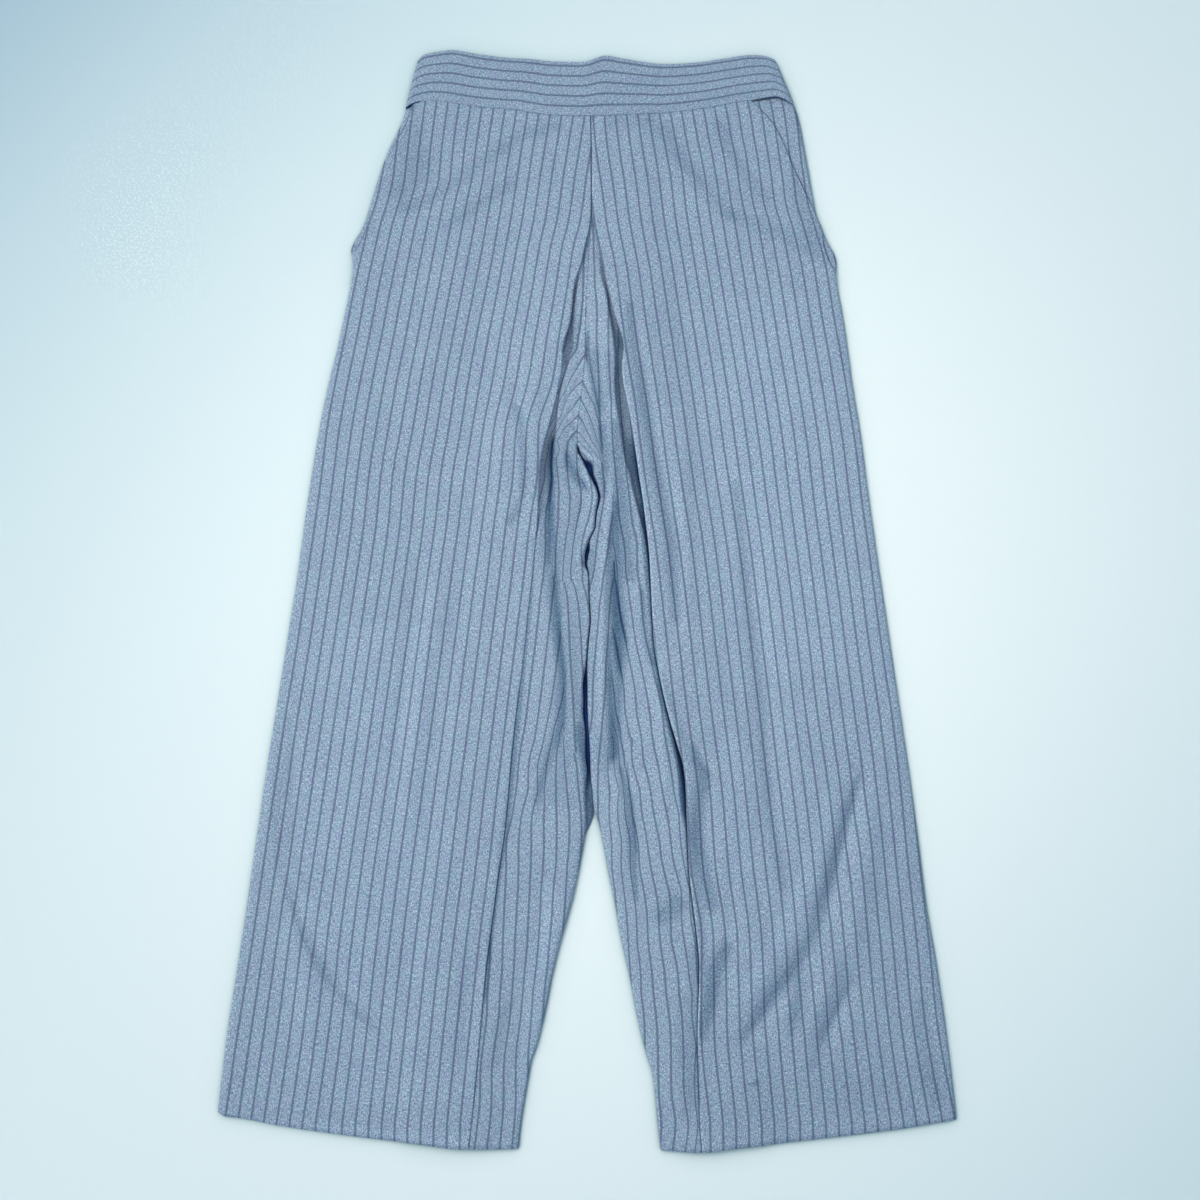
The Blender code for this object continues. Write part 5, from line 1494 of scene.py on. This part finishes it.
def yarn_dyed_cotton(name, pitch, stripe_width):
    """Yarn-dyed slub cotton, woven in a fine twill with slate stripes: a soft matt cloth whose mixed blue,
    lilac and pale yarns give it a heathered look, with a faint nap at grazing angles. Its colour also carries
    painted shade and painted highlights from the deep_shade attribute."""
    material = bpy.data.materials.new(name)
    material.use_nodes = True
    tree = material.node_tree
    shader = tree.nodes["Principled BSDF"]
    flat = add_node(tree, "ShaderNodeUVMap", uv_map="cloth")
    in_mm = add_node(
        tree, "ShaderNodeVectorMath", operation="MULTIPLY",
        links={0: flat.outputs["UV"]}, inputs={1: (1.0 / MM, 1.0 / MM, 1.0 / MM)},
    ).outputs[0]
    noises = {}
    for kind, across, along, scale, detail, roughness in YARNS:
        stretched = add_node(
            tree, "ShaderNodeVectorMath", operation="MULTIPLY",
            links={0: in_mm}, inputs={1: (across, along, 1.0)},
        )
        noises[kind] = add_node(
            tree, "ShaderNodeTexNoise", noise_dimensions="3D", links={"Vector": stretched.outputs[0]},
            inputs={"Scale": scale, "Detail": detail, "Roughness": roughness},
        ).outputs["Fac"]
    # painted shade and highlights, read from the deep_shade attribute that each piece carries
    depth = add_node(tree, "ShaderNodeAttribute", attribute_name="deep_shade")
    noises["shade"] = add_node(
        tree, "ShaderNodeMapRange", links={"Value": depth.outputs["Fac"]},
        inputs={"From Min": BRIGHTEST, "From Max": DARKEST},
    ).outputs["Result"]
    colours = {}
    for kind, stops in YARN_COLOURS:
        ramp = add_node(tree, "ShaderNodeValToRGB", links={"Fac": noises[kind]})
        ramp_stops(ramp, stops)
        colours[kind] = ramp.outputs["Color"]

    # the ground: two mixed warp yarns, crossed by the weft
    warp = add_node(
        tree, "ShaderNodeMix", data_type="RGBA", inputs={0: FLECK_SHARE},
        links={6: colours["warp"], 7: colours["fleck"]},
    )
    ground = add_node(
        tree, "ShaderNodeMix", data_type="RGBA", blend_type="MULTIPLY", inputs={0: WEFT_STRENGTH},
        links={6: warp.outputs[2], 7: colours["weft"]},
    ).outputs[2]

    # the stripes: a few slate yarns side by side every pitch, with an edge as uneven as the yarns are
    number = add_node(tree, "ShaderNodeSeparateXYZ", links={0: in_mm})
    uneven = add_node(
        tree, "ShaderNodeMath", operation="SUBTRACT", links={0: noises["warp"]}, inputs={1: 0.5},
    )
    wavering = add_node(
        tree, "ShaderNodeMath", operation="MULTIPLY_ADD", inputs={1: STRIPE_WAVER},
        links={0: uneven.outputs[0], 2: number.outputs["X"]},
    )
    from_middle = add_node(
        tree, "ShaderNodeMath", operation="PINGPONG", links={0: wavering.outputs[0]}, inputs={1: pitch / 2},
    )
    edge = add_node(
        tree, "ShaderNodeMapRange", interpolation_type="SMOOTHSTEP", links={"Value": from_middle.outputs[0]},
        inputs={
            "From Min": stripe_width * STRIPE_CORE,
            "From Max": stripe_width * STRIPE_RIM,
            "To Min": 1.0,
            "To Max": 0.0,
        },
    )
    stripe = add_node(
        tree, "ShaderNodeMath", operation="MULTIPLY",
        links={0: edge.outputs["Result"]}, inputs={1: STRIPE_STRENGTH},
    )
    slate = add_node(
        tree, "ShaderNodeMix", data_type="RGBA", inputs={0: STRIPE_FLECK},
        links={6: colours["slate tone"], 7: ground},
    )
    colour = add_node(
        tree, "ShaderNodeMix", data_type="RGBA", links={0: stripe.outputs[0], 6: ground, 7: slate.outputs[2]},
    ).outputs[2]

    # broad changes of hue and tone, and the painted shade and highlights between the cloth's folds and on its
    # creases
    for kind, strength in TONES:
        colour = add_node(
            tree, "ShaderNodeMix", data_type="RGBA", blend_type="MULTIPLY", inputs={0: strength},
            links={6: colour, 7: colours[kind]},
        ).outputs[2]
    bright = add_node(
        tree, "ShaderNodeVectorMath", operation="MULTIPLY", links={0: colour}, inputs={1: CLOTH_BRIGHTNESS},
    )
    tree.links.new(bright.outputs[0], shader.inputs["Base Color"])

    # each yarn stands up a little, and the nap catches the light along folds
    warp_height = add_node(
        tree, "ShaderNodeMath", operation="MULTIPLY", links={0: noises["warp"]}, inputs={1: WARP_RELIEF},
    )
    relief = add_node(
        tree, "ShaderNodeMath", operation="MULTIPLY_ADD", inputs={1: FLECK_RELIEF},
        links={0: noises["fleck"], 2: warp_height.outputs[0]},
    )
    bump = add_node(
        tree, "ShaderNodeBump", links={"Height": relief.outputs[0]},
        inputs={"Strength": 0.35, "Distance": YARN_HEIGHT * MM},
    )
    tree.links.new(bump.outputs["Normal"], shader.inputs["Normal"])
    shader.inputs["Roughness"].default_value = 0.88
    shader.inputs["Specular IOR Level"].default_value = 0.25
    shader.inputs["Sheen Weight"].default_value = 0.25
    shader.inputs["Sheen Roughness"].default_value = 0.6
    shader.inputs["Sheen Tint"].default_value = linear("#8fb4f4")
    shader.inputs["Specular Tint"].default_value = linear("#a9c6ff")
    return material


def studio_paper():
    """Matt studio background paper in a very pale blue-green that takes soft shadows, with a painted
    fall-off of the light away from its brightest part and a painted contact shadow near the cloth.
    """
    material = bpy.data.materials.new("matt studio paper")
    material.use_nodes = True
    tree = material.node_tree
    shader = tree.nodes["Principled BSDF"]
    place = add_node(tree, "ShaderNodeTexCoord")
    # painted fall-off of the light: the paper darkens away from its brightest part
    spread = add_node(
        tree, "ShaderNodeMapping", vector_type="TEXTURE", links={"Vector": place.outputs["Object"]},
        inputs={"Location": FLOOR_MIDDLE, "Rotation": FLOOR_TURN, "Scale": FLOOR_SPREAD},
    )
    away = add_node(tree, "ShaderNodeVectorMath", operation="LENGTH", links={0: spread.outputs["Vector"]})
    paper = add_node(tree, "ShaderNodeValToRGB", links={"Fac": away.outputs["Value"]})
    ramp_stops(paper, FLOOR_STOPS)
    # painted contact shadow: the paper darkens where the cloth is near
    near_cloth = add_node(tree, "ShaderNodeAmbientOcclusion", samples=8, inputs={"Distance": CONTACT_REACH})
    painted_contact_shadow = add_node(tree, "ShaderNodeValToRGB", links={"Fac": near_cloth.outputs["AO"]})
    ramp_stops(painted_contact_shadow, CONTACT_STOPS)
    shaded = add_node(
        tree, "ShaderNodeMix", data_type="RGBA", blend_type="MULTIPLY", inputs={0: 1.0},
        links={6: paper.outputs["Color"], 7: painted_contact_shadow.outputs["Color"]},
    )
    tree.links.new(shaded.outputs[2], shader.inputs["Base Color"])
    shader.inputs["Roughness"].default_value = 0.95
    shader.inputs["Specular IOR Level"].default_value = 0.1
    return material


def build_floor():
    mesh = bpy.data.meshes.new("studio_floor")
    corners = [(FLOOR_HALF * x, FLOOR_HALF * y, 0.0) for x, y in ((-1, -1), (1, -1), (1, 1), (-1, 1))]
    mesh.from_pydata(corners, [], [(0, 1, 2, 3)])
    mesh.materials.append(studio_paper())
    floor = bpy.data.objects.new("studio_floor", mesh)
    bpy.context.scene.collection.objects.link(floor)


def stitch_nodes():
    """The node group of a run of stitches: one rounded stitch every so far along the lines it is given."""
    tree = bpy.data.node_groups.new("run of stitches", "GeometryNodeTree")
    tree.interface.new_socket("Geometry", in_out="INPUT", socket_type="NodeSocketGeometry")
    for name in ("Spacing", "Stitch length", "Thread width"):
        tree.interface.new_socket(name, in_out="INPUT", socket_type="NodeSocketFloat")
    tree.interface.new_socket("Thread", in_out="INPUT", socket_type="NodeSocketMaterial")
    tree.interface.new_socket("Geometry", in_out="OUTPUT", socket_type="NodeSocketGeometry")
    given = tree.nodes.new("NodeGroupInput")
    line = add_node(tree, "GeometryNodeMeshToCurve", links={"Mesh": given.outputs["Geometry"]})
    spaced = add_node(
        tree, "GeometryNodeResampleCurve", mode="LENGTH",
        links={"Curve": line.outputs["Curve"], "Length": given.outputs["Spacing"]},
    )
    tangent = add_node(tree, "GeometryNodeInputTangent")
    turned = add_node(
        tree, "FunctionNodeAlignRotationToVector", links={"Vector": tangent.outputs["Tangent"]}, axis="X",
    )
    shortest, longest = STITCH_SHARES
    uneven = add_node(
        tree, "FunctionNodeRandomValue", data_type="FLOAT",
        inputs={"Min": shortest, "Max": longest, "Seed": STITCH_SEED},
    )
    length = add_node(
        tree, "ShaderNodeMath", operation="MULTIPLY",
        links={0: given.outputs["Stitch length"], 1: uneven.outputs["Value"]},
    )
    size = add_node(
        tree, "ShaderNodeCombineXYZ",
        links={
            "X": length.outputs["Value"],
            "Y": given.outputs["Thread width"],
            "Z": given.outputs["Thread width"],
        },
    )
    bead = add_node(tree, "GeometryNodeMeshIcoSphere", inputs={"Radius": 0.5, "Subdivisions": 2})
    placed = add_node(
        tree, "GeometryNodeInstanceOnPoints",
        links={
            "Points": spaced.outputs["Curve"],
            "Instance": bead.outputs["Mesh"],
            "Rotation": turned.outputs["Rotation"],
            "Scale": size.outputs["Vector"],
        },
    )
    real = add_node(tree, "GeometryNodeRealizeInstances", links={"Geometry": placed.outputs["Instances"]})
    smooth = add_node(tree, "GeometryNodeSetShadeSmooth", links={"Geometry": real.outputs["Geometry"]})
    finished = add_node(
        tree, "GeometryNodeSetMaterial",
        links={"Geometry": smooth.outputs["Geometry"], "Material": given.outputs["Thread"]},
    )
    result = tree.nodes.new("NodeGroupOutput")
    tree.links.new(finished.outputs["Geometry"], result.inputs["Geometry"])
    return tree


def sewing_thread():
    """Spun polyester sewing thread, a shade darker than the cloth: a soft shine along each twisted stitch."""
    material = bpy.data.materials.new("spun polyester thread")
    material.use_nodes = True
    tree = material.node_tree
    shader = tree.nodes["Principled BSDF"]
    place = add_node(tree, "ShaderNodeTexCoord").outputs["Object"]
    twist = add_node(
        tree, "ShaderNodeTexNoise", links={"Vector": place},
        inputs={"Scale": THREAD_TWISTS / MM, "Detail": 2.0},
    )
    ramp = add_node(tree, "ShaderNodeValToRGB", links={"Fac": twist.outputs["Fac"]})
    ramp_stops(ramp, [(0.35, "#56708c"), (0.65, "#86a0ba")])
    tree.links.new(ramp.outputs["Color"], shader.inputs["Base Color"])
    bump = add_node(
        tree, "ShaderNodeBump", links={"Height": twist.outputs["Fac"]},
        inputs={"Strength": 0.3, "Distance": THREAD_HEIGHT * MM},
    )
    tree.links.new(bump.outputs["Normal"], shader.inputs["Normal"])
    shader.inputs["Roughness"].default_value = 0.6
    shader.inputs["Sheen Weight"].default_value = 0.2
    return material


def on_cloth(cloth, points):
    """Points laid on a piece of cloth from above, in metres."""
    laid = []
    for x, y in points:
        above = (x * MM, (y - MIDDLE_Y) * MM, LOOK_DOWN_FROM)
        found, place, _, _ = cloth.ray_cast(above, (0.0, 0.0, -1.0))
        if found:
            laid.append((place[0], place[1], place[2] + STITCH_RAISE * MM))
    return laid


def build_stitches(name, lines, sizes, nodes, thread):
    """Runs of stitches along lines of points, as one mesh, with their spacing, length and thread width."""
    spacing, length, width = sizes
    points, edges = [], []
    for line in lines:
        first = len(points)
        points += line
        edges += [(first + step, first + step + 1) for step in range(len(line) - 1)]
    mesh = bpy.data.meshes.new(name)
    mesh.from_pydata(points, edges, [])
    guide = bpy.data.objects.new(name + "_line", mesh)
    bpy.context.scene.collection.objects.link(guide)
    run = guide.modifiers.new("stitches", "NODES")
    run.node_group = nodes
    values = {
        "Spacing": spacing * MM,
        "Stitch length": length * MM,
        "Thread width": width * MM,
        "Thread": thread,
    }
    for item in nodes.interface.items_tree:
        if item.in_out == "INPUT" and item.name in values:
            run[item.identifier] = values[item.name]
    bpy.context.view_layer.update()
    graph = bpy.context.evaluated_depsgraph_get()
    sewn = bpy.data.meshes.new_from_object(guide.evaluated_get(graph))
    bpy.data.objects.remove(guide)
    sewn.name = name
    obj = bpy.data.objects.new(name, sewn)
    bpy.context.scene.collection.objects.link(obj)
    return obj


def pocket_stitch_line(side):
    """A line of stitches beside the slanted mouth of a pocket."""
    points = []
    top, foot = WAIST - POCKET_STITCH_HEAD, POCKET_FOOT + POCKET_STITCH_FOOT
    for level in np.linspace(top, foot, STITCH_LINE_POINTS):
        x = (front_edge(side, level) - POCKET_STITCH_INSET) * outwards(side)
        points.append((float(x), float(level + height_shift(x, level))))
    return points


def hem_stitch_line(side, start, end):
    """A line of stitches across a leg, where the hem is turned up inside."""
    level = HEM + HEM_TURN
    points = []
    for out in np.linspace(start, end, STITCH_LINE_POINTS):
        x = out * outwards(side)
        points.append((float(x), float(level + height_shift(x, level))))
    return points


def build_sewing(fronts):
    """Topstitching beside each pocket's mouth and the small stitches that hold up each hem."""
    nodes, thread = stitch_nodes(), sewing_thread()
    bpy.context.view_layer.update()
    graph = bpy.context.evaluated_depsgraph_get()
    pockets, hems = [], []
    for side, front in fronts.items():
        cloth = front.evaluated_get(graph)
        pockets.append(on_cloth(cloth, pocket_stitch_line(side)))
        level = HEM + HEM_TURN
        outer, inner = front_edge(side, level), inner_edge(side, level)
        crease = line_at(CREASE_COLUMNS, CREASE_ROWS, "crease", side, level)
        at_side, beyond, before, at_inner = HEM_STITCH_INSETS
        hems.append(on_cloth(cloth, hem_stitch_line(side, outer - at_side, crease + beyond)))
        hems.append(on_cloth(cloth, hem_stitch_line(side, crease - before, inner + at_inner)))
    pocket = build_stitches("pocket_topstitching", pockets, POCKET_STITCH, nodes, thread)
    hem = build_stitches("hem_stitches", hems, HEM_STITCH, nodes, thread)
    for obj in (pocket, hem):
        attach(obj, "root")


def build_lamp(name, place, target, size, watts, spread):
    """A square studio lamp with a soft front, whose beam spreads through an angle in degrees."""
    data = bpy.data.lights.new(name, "AREA")
    data.shape = "SQUARE"
    data.size = size
    data.energy = watts
    data.color = linear(LAMP_COLOUR)[:3]
    data.spread = math.radians(spread)
    lamp = bpy.data.objects.new(name, data)
    bpy.context.scene.collection.objects.link(lamp)
    lamp.location = place
    lamp.rotation_euler = (Vector(target) - Vector(place)).to_track_quat("-Z", "Y").to_euler()


def build_studio():
    """Soft light from one large window on the left, and the camera, which looks almost straight down."""
    scene = bpy.context.scene
    world = bpy.data.worlds.new("studio")
    scene.world = world
    world.use_nodes = True
    sky = world.node_tree.nodes["Background"]
    sky.inputs["Color"].default_value = linear(SKY_COLOUR)
    sky.inputs["Strength"].default_value = SKY_STRENGTH
    for lamp in LAMPS:
        build_lamp(*lamp)
    scene.view_settings.view_transform = "Standard"

    data = bpy.data.cameras.new("camera")
    data.sensor_width = SENSOR
    data.lens = LENS
    data.clip_end = 50.0
    camera = bpy.data.objects.new("camera", data)
    scene.collection.objects.link(camera)
    tilt = math.radians(CAMERA_TILT)
    x, y, _ = CAMERA_TARGET
    camera.location = (x, y - CAMERA_AWAY * math.sin(tilt), CAMERA_AWAY * math.cos(tilt))
    camera.rotation_euler = (tilt, 0.0, 0.0)
    scene.camera = camera


def front_cut(side, level):
    """Width that a front is cut to at a level: what shows of it, and the pleat's return and underlay."""
    return front_edge(side, level) - inner_edge(side, level) + 2 * PLEAT_DEPTH


def back_cut(side, level):
    return side_edge(side, level) - inner_edge(side, level)


def pocket_cut(side, level):
    return side_edge(side, level) - front_edge(side, level) + POCKET_TUCK


def cut_area(width_at, side, foot):
    """Flat area in square metres of a piece cut from the waist to its foot, to a width for each level."""
    at = np.linspace(WAIST, foot, AREA_LEVELS)
    widths = np.array([width_at(side, level) for level in at])
    return float((widths[:-1] + widths[1:]).sum() / 2 * (WAIST - foot) / (len(at) - 1)) * MM * MM


def declare(obj, node):
    """Attaches a piece to the root and hides the solid of the node that it dresses."""
    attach(obj, "root")
    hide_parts(node)


def build_trousers():
    """All the pieces of cloth, from the backs up, and their sewing."""
    twill = "yarn dyed slub cotton twill"
    stripes = yarn_dyed_cotton(twill, STRIPE_PITCH, STRIPE_WIDTH)
    band_stripes = yarn_dyed_cotton(twill + " along the band", STRIPE_PITCH, BAND_STRIPE_WIDTH)
    fronts = {}
    for side in ("left", "right"):
        back = build_back(side, stripes)
        front = build_front(side, stripes)
        fronts[side] = front
        pocket = build_pocket_side(side, stripes)
        area = cut_area(back_cut, side, HEM)
        declare(back, f"back_{side}")
        area = cut_area(pocket_cut, side, POCKET_FOOT)
        declare(pocket, f"pocket_side_{side}")
        area = cut_area(front_cut, side, HEM)
        declare(front, f"front_{side}")
    back = build_band("waistband_back_cloth", False, band_stripes)
    front = build_band("waistband_front_cloth", True, band_stripes)
    declare(back, "waistband_back")
    declare(front, "waistband_front")
    build_sewing(fronts)


build_trousers()
build_floor()
build_studio()
